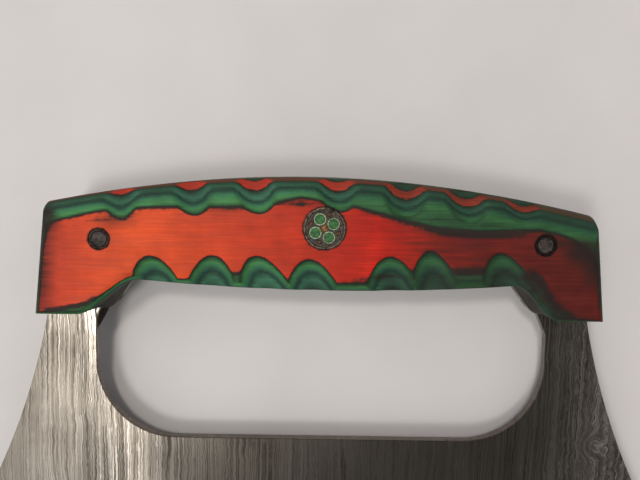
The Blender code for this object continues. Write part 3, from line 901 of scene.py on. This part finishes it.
def ply_depth(points):
    """Depth below the face plus what was sanded off, in mm, at points of the knife's plane."""
    x, y, z = points.T
    place = unfan(x, y)
    lengthened = lean_of_edge(place)
    from_crest = crest(place) - y
    from_belly = (y - face_underside(place)) / lengthened
    crest_line, belly_line = along_curve(CREST_LINE, place), along_curve(BELLY_LINE, place)
    crest_fall = crown_depth(place, crest_line)
    belly_fall = arris_depth(place, belly_line * lengthened)
    through = worn(from_crest, crest_line, along_curve(CREST_FADE, place), crest_fall)
    through += worn(from_belly, belly_line, along_curve(BELLY_FADE, place), belly_fall)
    depth = FRONT_FACE - np.abs(z)
    shallow = BELLY_SHALLOWER * np.clip(1 - from_belly / BELLY_SHALLOW_REACH, 0, 1)
    shallow *= np.clip(depth / SHALLOW_FULL_DEPTH, 0, 1)
    thin = THIN_DEPTH * soft_spots(THIN_SPOTS, x, y)
    uncut = through * (1 - cut_share(place, x, y))
    return depth + SANDED + uncut + ends_worn(place, y) + thin - shallow


print("depth at the middle pin:", ply_depth(np.array([[*PIN_CENTERS["mosaic"], FRONT_FACE]])))

# %% [markdown]
# ## Dark stains
#
# Dye and sanding dust have settled unevenly: at the left end, in streaks under the green on
# the right, and along the right cove. Each stain is a soft oval, and what they leave of the
# colour is multiplied.

# %% Stains
STAINS = (
    # x, y, half length, half height, strength
    (-61.0, 1.6, 2.6, 2.6, 0.85), (-63.4, -9.0, 4.2, 14.0, 0.78), (-60.0, -19.8, 4.0, 0.9, 0.4),
    (-46.0, 1.0, 7.0, 1.7, 0.5), (-62.0, -2.0, 5.0, 5.0, 0.25), (-45.0, -12.5, 5.0, 1.6, 0.25),
    (-41.5, -11.0, 3.0, 1.2, 0.3), (-20.0, 4.0, 4.5, 1.4, 0.45), (-6.0, 6.2, 4.5, 1.0, 0.5),
    (-13.0, 2.8, 5.0, 1.0, 0.3), (-27.0, 3.4, 4.0, 0.8, 0.3), (-9.0, -3.5, 4.0, 1.6, 0.25),
    (-17.0, -0.5, 6.0, 0.8, 0.2), (12.5, 3.3, 4.5, 0.9, 0.5), (18.5, 1.7, 5.0, 1.1, 0.46),
    (24.5, 0.2, 5.5, 1.2, 0.46), (31.5, -1.0, 6.0, 1.3, 0.7), (39.5, -1.2, 5.5, 0.9, 0.55),
    (33.0, -3.4, 9.0, 1.2, 0.4), (27.0, -4.8, 7.0, 0.5, 0.45), (34.0, -6.4, 8.0, 0.7, 0.45),
    (22.0, -3.0, 5.0, 0.5, 0.45), (16.5, -0.5, 3.5, 0.4, 0.4), (59.0, -4.6, 4.2, 3.4, 0.9),
    (53.5, -2.6, 3.5, 1.2, 0.6), (62.3, -8.8, 3.0, 5.0, 0.8), (15.5, -11.0, 4.0, 1.0, 0.6),
    (34.0, -9.4, 3.4, 1.1, 0.7), (47.4, -10.6, 1.7, 1.7, 0.8), (49.6, -12.6, 1.9, 1.9, 0.85),
    (52.0, -15.0, 1.9, 1.9, 0.88), (54.0, -17.4, 1.9, 1.9, 0.85), (56.8, -19.4, 2.6, 1.1, 0.8),
    (61.0, -19.9, 3.0, 0.8, 0.6), (17.0, -12.6, 7.0, 3.0, 0.25), (27.0, -11.5, 6.0, 4.0, 0.42),
    (42.0, -10.5, 6.0, 4.0, 0.5), (36.0, -13.5, 14.0, 1.5, 0.35),
)


def keep_on_vertices(piece, name, values):
    """Store one number per vertex as an attribute that materials can read."""
    attribute = piece.data.attributes.new(name, "FLOAT", "POINT")
    attribute.data.foreach_set("value", values.astype(np.float32))


def plane_points(piece):
    """All vertices of a piece in the knife's plane."""
    points = np.empty(3 * len(piece.data.vertices), dtype=np.float32)
    piece.data.vertices.foreach_get("co", points)
    return to_plane(points.reshape(-1, 3).astype(float))


print("stains:", len(STAINS))

# %% Keep depth, stains, crown darkening and painted shade on the scales
COVE_FROM = 36.0
COVE_HEIGHT = 1.0
WALL_BLEND = 0.5
# place along the handle and share there, for the darkening of the uncut crown and for the dark dye
UNCUT_CROWN_WEIGHT = np.array([(-62, 1.0), (-5, 0.85), (10, 0.5), (45, 0.5), (52, 1.0)])
SOAK_ALONG = np.array([(-8, 0.0), (12, 0.3), (30, 0.45), (63, 0.5)])
# painted shade on the flanks of the grooves, together with dye taken up by the end grain
FLANK_SHADE_AND_END_GRAIN_DYE = 0.6
MOST_DYE_AND_SHADE = 0.8
DEEPEST_FLANK_SHADE = 2.2


def green_dye_and_flank_shade(x, y, plies):
    """Dark dye in the green veneers, more to the right, and where a cut crosses the grain, which
    is where the depth is steep along the handle; on these flanks it is also painted shade."""
    rise = carved_depth(x + SLOPE_STEP, y) - carved_depth(x - SLOPE_STEP, y)
    steep = np.clip(np.abs(rise) / (2 * SLOPE_STEP), 0, 1) * np.clip(DEEPEST_FLANK_SHADE - plies, 0, 1)
    return np.clip(along_curve(SOAK_ALONG, x) + FLANK_SHADE_AND_END_GRAIN_DYE * steep, 0, MOST_DYE_AND_SHADE)


for scale in (front_scale, back_scale):
    points = plane_points(scale)
    x, y, z = points.T
    place = unfan(x, y)
    plies = ply_depth(points)
    below = np.clip((FRONT_FACE - np.abs(z) - carved_depth(x, y)) / WALL_BLEND, 0, 1)
    in_cove = (y - face_underside(place) < COVE_HEIGHT) & (np.abs(place) > COVE_FROM)
    for name, values in {
        "ply": plies,
        # darkens and browns the uncut crown between the grooves, most at both ends
        "uncut_crown_weight": (1 - cut_share(place, x, y)) * along_curve(UNCUT_CROWN_WEIGHT, place),
        # dark dye, plus painted shade on the groove flanks
        "dye_and_flank_shade": green_dye_and_flank_shade(x, y, plies),
        "stain": soft_spots(STAINS, x, y),
        "pin_rim": np.min([np.hypot(x - c[0], y - c[1]) - r for c, r in pin_holes], axis=0),
        # painted shade on the cove walls under the handle
        "painted_cove_shade": below * in_cove,
    }.items():
        keep_on_vertices(scale, name, values)
    print(scale.name, "ply depth from", round(plies.min(), 2), "to", round(plies.max(), 2))

# %% [markdown]
# ## Dyed laminated wood
#
# The common name is dyed laminated birch: thin veneers soaked with dye and pressed in resin,
# here sanded and oiled. The oil gives the eye a low sheen, and the sanding a streaked and
# cloudy colour. A ramp over the depth gives the bands, with a dark resin line at each joint.
# Grain noise stretched along the handle frays them. The red shifts from orange at the left
# end to deep red at the right. The uncut crown is darkened and browned, and shade is painted
# on the cove walls and on the flanks of the grooves.

# %% Colours of the veneers
PLY_SPAN = 9.5
# depth in mm and colour there; the greens at 1.2, 1.46 and 2.0 mm are tinted bluer, partly their
# dye and partly a painted bluish reflection
PLY_COLORS = (
    (0.0, "#3E1C16"), (0.44, "#3A1C16"), (0.495, "#2C1C15"), (0.56, "#1A241A"),
    (0.70, "#2C5632"), (0.95, "#427C46"), (1.2, "#38704C"), (1.46, "#264A3C"),
    (1.58, "#1E382E"), (1.74, "#284A38"), (2.0, "#38664E"), (2.4, "#2C4C3A"),
    (2.64, "#1E2A20"), (2.74, "#2A1A14"), (2.84, "#A83322"), (3.62, "#9C3022"),
    (3.74, "#2A1814"), (3.86, "#26382A"), (4.2, "#36503A"), (4.72, "#2E4032"),
    (4.9, "#4A3826"), (5.1, "#604028"), (5.9, "#7A3828"), (6.0, "#1E3A30"), (7.05, "#245A48"),
    (7.15, "#8A3424"), (8.2, "#9A3A28"), (8.3, "#1E4438"), (9.5, "#24584A"),
)
HALF_SPAN = 65 * MM
# share of the way from left to right and colour of the red face there
RED_ALONG = (
    (0.0, "#9A2A1E"), (0.07, "#C24224"), (0.17, "#CA4A22"), (0.26, "#CC4620"),
    (0.38, "#BA381C"), (0.50, "#AE2A14"), (0.605, "#BA1E0C"), (0.68, "#922010"),
    (0.76, "#701A10"), (0.86, "#621A12"), (0.94, "#5A1A12"), (1.0, "#601A12"),
)
GRAIN_STRETCH = (0.05, 1.0, 1.0)
# birch grain is finer still, and is drawn this coarse because it wouldn't show
GRAIN_WIDTH = 0.45
FIGURE_WIDTH = 1.7
CLOUD_WIDTH = 7.0
SPECK_WIDTH = 0.9
NOISE_DETAIL = 4.0
SURFACE_NUMBERS = ("ply", "uncut_crown_weight", "dye_and_flank_shade", "stain", "pin_rim", "painted_cove_shade")
print("veneer bands over", PLY_SPAN, "mm")

# %% Where the dyed veneer changes
# for a MapRange: the range of what it reads, then the range of what it gives
FRAY = (1.1, 1.9, -1.0, 1.0)
FRAY_REACH = (0.45, 1.2, 0.035, 0.11)
RED_DEPTH = (0.42, 0.47, 1.0, 0.0)
GREEN_DEPTH = (0.45, 0.60, 0.0, 1.0)
DEEP_GREEN = (1.2, 1.8, 0.0, 0.55)
SECOND_RED = (2.5, 2.8, 0.0, 0.8)
STREAK_DARKEST = (-10 * MM, 30 * MM, 0.88, 0.60)
STREAK_BRIGHTEST = 1.12
FIGURES = (0.3, 0.7, 0.90, 1.10)
CLOUDS = (0.35, 0.65, 0.86, 1.14)
STAINED = (0.80, 1.38, 0.0, 0.9)
STAIN_FRAY = 0.6
RIMMED = (0.40, 0.85, 0.95, 0.0)
RIM_FRAY = 0.9
OILED = (0.3, 0.7, 0.50, 0.64)
OIL_SHEEN = 0.18
GRAIN_BUMP = {"Strength": 0.3, "Distance": 0.04 * MM}
print("red face veneer ends at", RED_DEPTH[1], "mm")


# %% Dyed veneer material
def dyed_veneer(name):
    """Veneer bands by depth, frayed and streaked by grain, darkened by stains, with painted shade
    on the cove walls and the groove flanks.
    """
    material, node, surface, where = new_material(name)
    ply, crown_weight, dye_and_flank_shade, stain, rim, wall = [
        node("Attribute", out="Fac", attribute_name=number) for number in SURFACE_NUMBERS
    ]
    lengthwise = node("Mapping", {0: where, "Scale": GRAIN_STRETCH})
    grain, figure, cloud, speck = [
        node("TexNoise", {0: vector, "Scale": per_mm(width), "Detail": NOISE_DETAIL})
        for vector, width in (
            (lengthwise, GRAIN_WIDTH), (lengthwise, FIGURE_WIDTH), (where, CLOUD_WIDTH),
            (where, SPECK_WIDTH),
        )
    ]
    both = node("Math", [grain, figure])
    fray = node("MapRange", [node("Math", [both, speck]), *FRAY])
    reach = node("MapRange", [ply, *FRAY_REACH])
    frayed = node("Math MULTIPLY_ADD", [fray, reach, ply])
    band = node("MapRange", {0: frayed, 2: PLY_SPAN})
    band_stops = [(depth / PLY_SPAN, code) for depth, code in PLY_COLORS]
    bands = node("ValToRGB", [band], band_stops)

    position = node("SeparateXYZ", [where])
    along = node("MapRange", {0: position, 1: -HALF_SPAN, 2: HALF_SPAN})
    red = node("ValToRGB", [along], RED_ALONG)
    is_red = node("MapRange", [frayed, *RED_DEPTH])
    color = node("Mix", {0: is_red, 6: bands, 7: red}, **COLORS)
    darkest = node("MapRange", [position, *STREAK_DARKEST])
    streaks = node("MapRange", [grain, *FIGURES[:2], darkest, STREAK_BRIGHTEST])
    figures = node("MapRange", [figure, *FIGURES])
    lines = node("Math MULTIPLY", [streaks, figures])
    clouds = node("MapRange", [cloud, *CLOUDS])
    tone = node("Math MULTIPLY", [lines, clouds])
    color = node("Mix", {0: 1.0, 6: color, 7: tone}, blend_type="MULTIPLY", **COLORS)

    spread = node("Math MULTIPLY_ADD", [both, STAIN_FRAY, stain])
    ragged = node("Math MULTIPLY_ADD", [speck, RIM_FRAY, rim])
    green = node("MapRange", [frayed, *GREEN_DEPTH])
    deep = node("MapRange", [ply, *DEEP_GREEN])
    top = node("MapRange", [frayed, *SECOND_RED])
    dye_and_shade_on_green, shade, browned = [
        node("Math MULTIPLY", pair)
        for pair in ([dye_and_flank_shade, green], [crown_weight, deep], [crown_weight, top])
    ]
    stained = node("MapRange", [spread, *STAINED])
    rimmed = node("MapRange", [ragged, *RIMMED])
    # the first mix is dark dye plus painted shade on the groove flanks, and the last is painted
    # shade on the cove walls
    for share, code in (
        (dye_and_shade_on_green, "#1A2E20"), (shade, "#24382A"), (browned, "#463826"),
        (stained, "#241815"), (rimmed, "#1E1614"), (wall, "#26221F"),
    ):
        color = node("Mix", {0: share, 6: color, 7: linear(code)}, **COLORS)
    fill(surface, {
        "Base Color": color, "Roughness": node("MapRange", [figure, *OILED]),
        "Normal": node("Bump", {"Height": lines, **GRAIN_BUMP}),
        "Specular IOR Level": OIL_SHEEN,
    })
    return material


front_wood = dyed_veneer("dyed_laminated_birch_front")
back_wood = dyed_veneer("dyed_laminated_birch_back")
print("nodes in the veneer:", len(front_wood.node_tree.nodes))

# %% [markdown]
# ## Pattern-welded steel
#
# The blade is forged from layers of two steels, ground flat and etched in acid. One steel
# stays bright and the other turns dark, in rippled lines that run from handle to edge here.
# A line never ends, so the noise is drawn out along y until it hardly changes there, and two
# warps bend it: short ripples, which grow to swirls at the right side, and long waves. On the
# right the lines swell round a knot, and at the left neck a round patch is darkened and dulled.
# The eye gets bright lines that shine and dark ones that are a little matt.

# %% Etched lines
LINE_WIDTH = 0.20
BUNDLE_WIDTH = 0.9
BUNDLE_SHARE = 0.35
RIPPLE_LENGTH = 2.2
BEND_LENGTH = 24.0
PATCH_WIDTH = 25.0
BEND_REACH = 2.5 * MM
RIPPLE_REACH = (54 * MM, 78 * MM, 0.9 * MM, 3.4 * MM)
DRAWN_OUT = (1.0, 0.004, 0.3)
BLADE_SPAN = 90 * MM
# share of the way from left to right, and contrast or brightness there
CONTRAST_ALONG = (
    (0.0, 0.3), (0.11, 0.45), (0.14, 0.6), (0.17, 0.5), (0.2, 0.9), (0.225, 1.0), (0.28, 0.8),
    (0.36, 0.6), (1.0, 0.8),
)
# the brightness is partly painted light: a painted highlight on the left arm from 0.226 to 0.278,
# and painted shade that dims the blade from the middle to the right arm; the contrast above is
# raised next to that highlight
ETCH_LEVEL_AND_PAINTED_LIGHT = (
    (0.0, 0.85), (0.18, 0.84), (0.2, 0.74), (0.212, 0.74), (0.226, 1.15), (0.24, 1.3),
    (0.262, 1.35), (0.278, 1.0), (0.292, 0.62), (0.33, 0.43), (0.36, 0.46), (0.46, 0.42),
    (0.54, 0.38), (0.78, 0.38), (0.84, 0.46), (0.867, 0.58), (0.885, 0.72), (0.9, 0.74),
)
ETCH_COLORS = (
    (0.34, "#2E2A27"), (0.43, "#57514A"), (0.48, "#766F66"), (0.52, "#8A8278"),
    (0.57, "#A89F94"), (0.66, "#D6CEC2"),
)
PATCHES = (0.3, 0.7, 0.46, 0.54)
print("lines every", LINE_WIDTH, "mm in bundles of", BUNDLE_WIDTH, "mm")

# %% Knot, dark patch, walls and polish
NECK_DARK_PATCH = (-46.5 * MM, -24.3 * MM, 0.0)
DARK_PATCH_FADE = (6.4 * MM, 7.3 * MM, 0.9, 0.0)
DARK_PATCH_COLOR = "#2A201A"
KNOT = (67.4 * MM, -53.6 * MM, 1.2 * MM)
KNOT_SWELL = (0.0, 4.5 * MM, 3.6 * MM, 0.0)
WALL_COLOR = "#6A6058"
WALL_PLAIN = 0.7
POLISH = (0.42, 0.58, 0.42, 0.22)
ETCH_BUMP = {"Strength": 0.3, "Distance": 0.04 * MM}
print("knot at", [round(side / MM, 1) for side in KNOT], "mm")


# %% Etched steel material
def etched_steel(name):
    """Fine bright and dark lines, in bundles, down the blade's height, bent by two warps."""
    material, node, surface, where = new_material(name)
    position = node("SeparateXYZ", [where])
    along = node("MapRange", {0: position, 1: -BLADE_SPAN, 2: BLADE_SPAN})
    ripple, bend = [
        node("TexNoise", {0: where, "Scale": per_mm(length), "Detail": detail}, out="Color")
        for length, detail in ((RIPPLE_LENGTH, 3.0), (BEND_LENGTH, 2.0))
    ]
    looser = node("MapRange", [position, *RIPPLE_REACH])
    near = node("VectorMath SCALE", {0: ripple, "Scale": looser})
    pushed = node("VectorMath MULTIPLY_ADD", [bend, (BEND_REACH,) * 3, near])
    from_knot, from_neck = [
        node("VectorMath DISTANCE", [where, spot], out="Value")
        for spot in (KNOT, NECK_DARK_PATCH)
    ]
    swell = node("MapRange", [from_knot, *KNOT_SWELL], interpolation_type="SMOOTHSTEP")
    bulge = node("VectorMath", [pushed, node("CombineXYZ", [swell])])
    moved = node("VectorMath", [where, bulge])
    drawn = node("Mapping", {0: moved, "Scale": DRAWN_OUT})
    lines, bundles, patches = [
        node("TexNoise", {0: vector, "Scale": per_mm(width), "Detail": detail})
        for vector, width, detail in (
            (drawn, LINE_WIDTH, 3.0), (drawn, BUNDLE_WIDTH, 2.0), (where, PATCH_WIDTH, 3.0),
        )
    ]
    both = node("Mix", {0: BUNDLE_SHARE, 2: lines, 3: bundles})
    centered = node("Math SUBTRACT", [both, 0.5])
    contrast = node("ValToRGB", [along], CONTRAST_ALONG)
    level = node("MapRange", [patches, *PATCHES])
    etched = node("Math MULTIPLY_ADD", [centered, contrast, level])
    tone = node("ValToRGB", [etched], ETCH_COLORS)
    # painted light: a painted highlight on the left arm and painted shade toward the right, over
    # the etch's own level
    level_and_painted_light = node("ValToRGB", [along], ETCH_LEVEL_AND_PAINTED_LIGHT)
    color = node("Mix", {0: 1.0, 6: tone, 7: level_and_painted_light}, blend_type="MULTIPLY", **COLORS)
    wall = node("Attribute", out="Fac", attribute_name="wall")
    plain = node("Math MULTIPLY", [wall, WALL_PLAIN])
    # a round patch at the left neck, under the foot, is mixed toward a dark colour and made rough
    dark_patch = node("MapRange", [from_neck, *DARK_PATCH_FADE])
    for share, code in ((plain, WALL_COLOR), (dark_patch, DARK_PATCH_COLOR)):
        color = node("Mix", {0: share, 6: color, 7: linear(code)}, **COLORS)
    polish = node("MapRange", [etched, *POLISH])
    fill(surface, {
        "Base Color": color, "Metallic": 1.0,
        "Roughness": node("Math MAXIMUM", [polish, dark_patch]),
        "Normal": node("Bump", {"Height": both, **ETCH_BUMP}),
    })
    return material


x, y, z = plane_points(blade).T
on_wall = plate_half(np.hypot(x, y - EDGE_CENTER_Y)) - np.abs(z) > EDGE_BREAK / 2
keep_on_vertices(blade, "wall", on_wall)
steel = etched_steel("etched_pattern_welded_steel")
print("vertices on the blade's walls:", on_wall.sum())

# %% [markdown]
# ## Pin and glue materials
#
# Sanding leaves metals satin with fine scratches, and resin dull with fine specks of the
# metal dust that was stirred in. One builder serves all of them, because they differ only in
# two colours, in the size and sharpness of the specks, and in how metallic and rough they
# are. The real specks are finer, and are drawn as coarse as they need to be to show.

# %% Sanded materials
SPECK_SPLIT = (0.42, 0.58)
SPECK_NOISE = {"Detail": 4.0, "Roughness": 0.7}
ROUGHNESS_SPREAD = 0.12
RESIN_SHEEN = 0.25
SCRATCH_BUMP = {"Strength": 0.3, "Distance": 0.02 * MM}


def sanded(name, dark, light, speck, metallic, roughness, split=SPECK_SPLIT):
    """Two tones mixed by noise whose specks are this many millimetres apart."""
    material, node, surface, where = new_material(name)
    noise = node("TexNoise", {0: where, "Scale": per_mm(speck), **SPECK_NOISE})
    rougher, smoother = roughness + ROUGHNESS_SPREAD, roughness - ROUGHNESS_SPREAD
    fill(surface, {
        "Base Color": node("ValToRGB", [noise], list(zip(split, (dark, light)))),
        "Metallic": metallic,
        "Roughness": node("MapRange", {0: noise, 3: rougher, 4: smoother}),
        "Normal": node("Bump", {"Height": noise, **SCRATCH_BUMP}),
    })
    if not metallic:
        fill(surface, {"Specular IOR Level": RESIN_SHEEN})
    return material


pin_steel = sanded("sanded_dark_steel", "#15100E", "#3A2E2A", 0.6, 1.0, 0.5, (0.40, 0.66))
grey_steel = sanded("sanded_grey_steel", "#2A2420", "#6A5E52", 0.6, 1.0, 0.5, (0.40, 0.62))
dark_resin = sanded("speckled_epoxy", "#1A1513", "#5C5248", 0.5, 0.0, 0.55, (0.40, 0.66))
dusty_resin = sanded("dust_filled_epoxy", "#120D0B", "#463D38", 1.0, 0.0, 0.6, (0.38, 0.60))
brass = sanded("worn_brass", "#5E6850", "#98A488", 0.4, 1.0, 0.45)
green = sanded("green_epoxy", "#1E4A22", "#367038", 0.7, 0.0, 0.45)
copper = sanded("sanded_copper", "#4A3624", "#8A6440", 0.5, 1.0, 0.5)
dull_copper = sanded("tarnished_copper", "#30241A", "#5E4630", 0.4, 1.0, 0.5)
glue = sanded("squeezed_out_epoxy", "#3C3028", "#A89878", 1.5, 0.0, 0.4)
print("pin materials ready")

# %% [markdown]
# ## Finishing each piece
#
# A new piece rides on the part's body and stands for its CAD node, which is hidden, and gets
# its finish. The glue lines stand for no node, so they only ride and get their finish.

# %% Finish each piece
BODY = "root"

pieces = [
    (front_scale, "front_scale", "front_wood", front_wood),
    (back_scale, "back_scale", "back_wood", back_wood),
    (blade, "blade", "blade_steel", steel),
]
finishes = {
    "outer_tube": ("pin_steel", grey_steel), "filler": ("pin_resin", dark_resin),
    "tube": ("pin_brass", brass), "core": ("green_resin", green),
    "rod": ("copper", dull_copper), "center_rod": ("copper", copper),
}
for node, piece in end_pins.items():
    is_tube = node.endswith("tube")
    finish = ("pin_steel", pin_steel) if is_tube else ("pin_resin", dusty_resin)
    pieces.append((piece, node, *finish))
for node, piece in mosaic.items():
    pieces.append((piece, node, *finishes[node.removeprefix("mosaic_").rstrip("_1234")]))

for piece, node, slot, material in pieces:
    piece.data.materials.clear()
    piece.data.materials.append(material)
    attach(piece, BODY)
    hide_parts(node)
for piece in glue_lines:
    piece.data.materials.append(glue)
    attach(piece, BODY)
print("pieces finished:", len(pieces) + len(glue_lines))

# %% [markdown]
# ## Table, light and camera
#
# The knife lies on a pale table and is seen from straight above. The room is brightest in a
# strip on the left, like a row of windows, and darkest on the right above the knife, which,
# with light painted into the steel's colour, gives the steel its bright left arm and its dark
# right one. A soft lamp stands by the windows and throws the shade inside the finger window,
# and a second one hangs behind.

# %% Table
TABLE_HALF = 1.5
TABLE_TONES = ((0.3, "#CCC8C6"), (0.7, "#D4D0CE"))
TABLE_ROUGHNESS = 0.6
MOTTLE_WIDTH = 40.0
MOTTLE_DETAIL = 6.0


def pale_table():
    """A worn pale laminate: matt, with faint mottling."""
    material, node, surface, where = new_material("pale_laminate")
    size = {"Scale": per_mm(MOTTLE_WIDTH), "Detail": MOTTLE_DETAIL}
    mottle = node("TexNoise", {0: where, **size})
    tone = node("ValToRGB", [mottle], TABLE_TONES)
    fill(surface, {"Base Color": tone, "Roughness": TABLE_ROUGHNESS})
    return material


corners = np.array([(-1, -1, 0), (1, -1, 0), (1, 1, 0), (-1, 1, 0)]) * TABLE_HALF
mesh = bpy.data.meshes.new("table")
mesh.from_pydata(corners.tolist(), [], [(0, 1, 2, 3)])
mesh.materials.append(pale_table())
table = new_object("table", mesh)
print("table:", 2 * TABLE_HALF, "m square")

# %% Light
ROOM_COLOR = "#F6F6F8"
ROOM_LEVEL = 1.04
BRIGHTEST = 2.3
# the way a ray goes sideways, from -1 on the left to 1 on the right, and the brightness there
ROOM_STOPS = (
    (-1.0, 0.64), (-0.46, 0.64), (-0.38, 0.9), (-0.33, 1.3), (-0.28, 2.2), (-0.25, 2.3),
    (-0.215, 0.6), (-0.13, 0.43), (0.0, 0.24), (0.1, 0.16), (0.25, 0.14), (0.32, 0.25),
    (0.38, 0.42), (0.46, 0.5), (1.0, 0.5),
)
AIM = np.array([0.0, 0.02, 0.0])
WINDOW_LAMP = ((-0.28, -0.26, 1.0), 0.22, 0.23, "#FFFDF8")
CEILING_LAMP = ((-0.14, 0.28, 1.0), 0.12, 0.25, "#FFF8F0")

world = bpy.context.scene.world or bpy.data.worlds.new("room")
bpy.context.scene.world = world
world.use_nodes = True
node = partial(add, world.node_tree)
sideways = node("SeparateXYZ", [node("TexCoord")])
share = node("MapRange", {0: sideways, 1: -1.0, 2: 1.0})
stops = [((way + 1) / 2, level / BRIGHTEST) for way, level in ROOM_STOPS]
brightness = node("ValToRGB", [share], stops)
strength = node("Math MULTIPLY", [brightness, BRIGHTEST * ROOM_LEVEL])
background = world.node_tree.nodes["Background"]
fill(background, {"Color": linear(ROOM_COLOR), "Strength": strength})


def lamp(name, position, size, level, color):
    """A square lamp aimed at the knife, of power level * pi^2 * distance^3 / height."""
    toward = AIM - np.array(position)
    distance = math.hypot(*toward)
    light = bpy.data.lights.new(name, "AREA")
    light.size = size
    light.energy = level * math.pi ** 2 * distance ** 3 / position[2]
    light.color = linear(color)[:3]
    item = new_object(name, light)
    item.location = position
    item.rotation_euler = Vector(toward).to_track_quat("-Z", "Y").to_euler()
    print(name, "power", round(light.energy, 2), "W")


lamp("window_light", *WINDOW_LAMP)
lamp("ceiling_light", *CEILING_LAMP)

# %% Camera
LENS = 37.97
SENSOR_WIDTH = 36.0
FROM_MIDDLE_PIN = (-0.000969, -0.002587, 0.151)
ROLL = math.radians(0.833)
CLIP_START = 0.01

camera = new_object("camera", bpy.data.cameras.new("camera"))
camera.data.lens = LENS
camera.data.sensor_width = SENSOR_WIDTH
camera.data.clip_start = CLIP_START
camera.location = tuple(to_frame([*PIN_CENTERS["mosaic"], FRONT_FACE]) + FROM_MIDDLE_PIN)
camera.rotation_euler = (0, 0, ROLL)
bpy.context.scene.camera = camera
bpy.context.scene.view_settings.view_transform = "Standard"
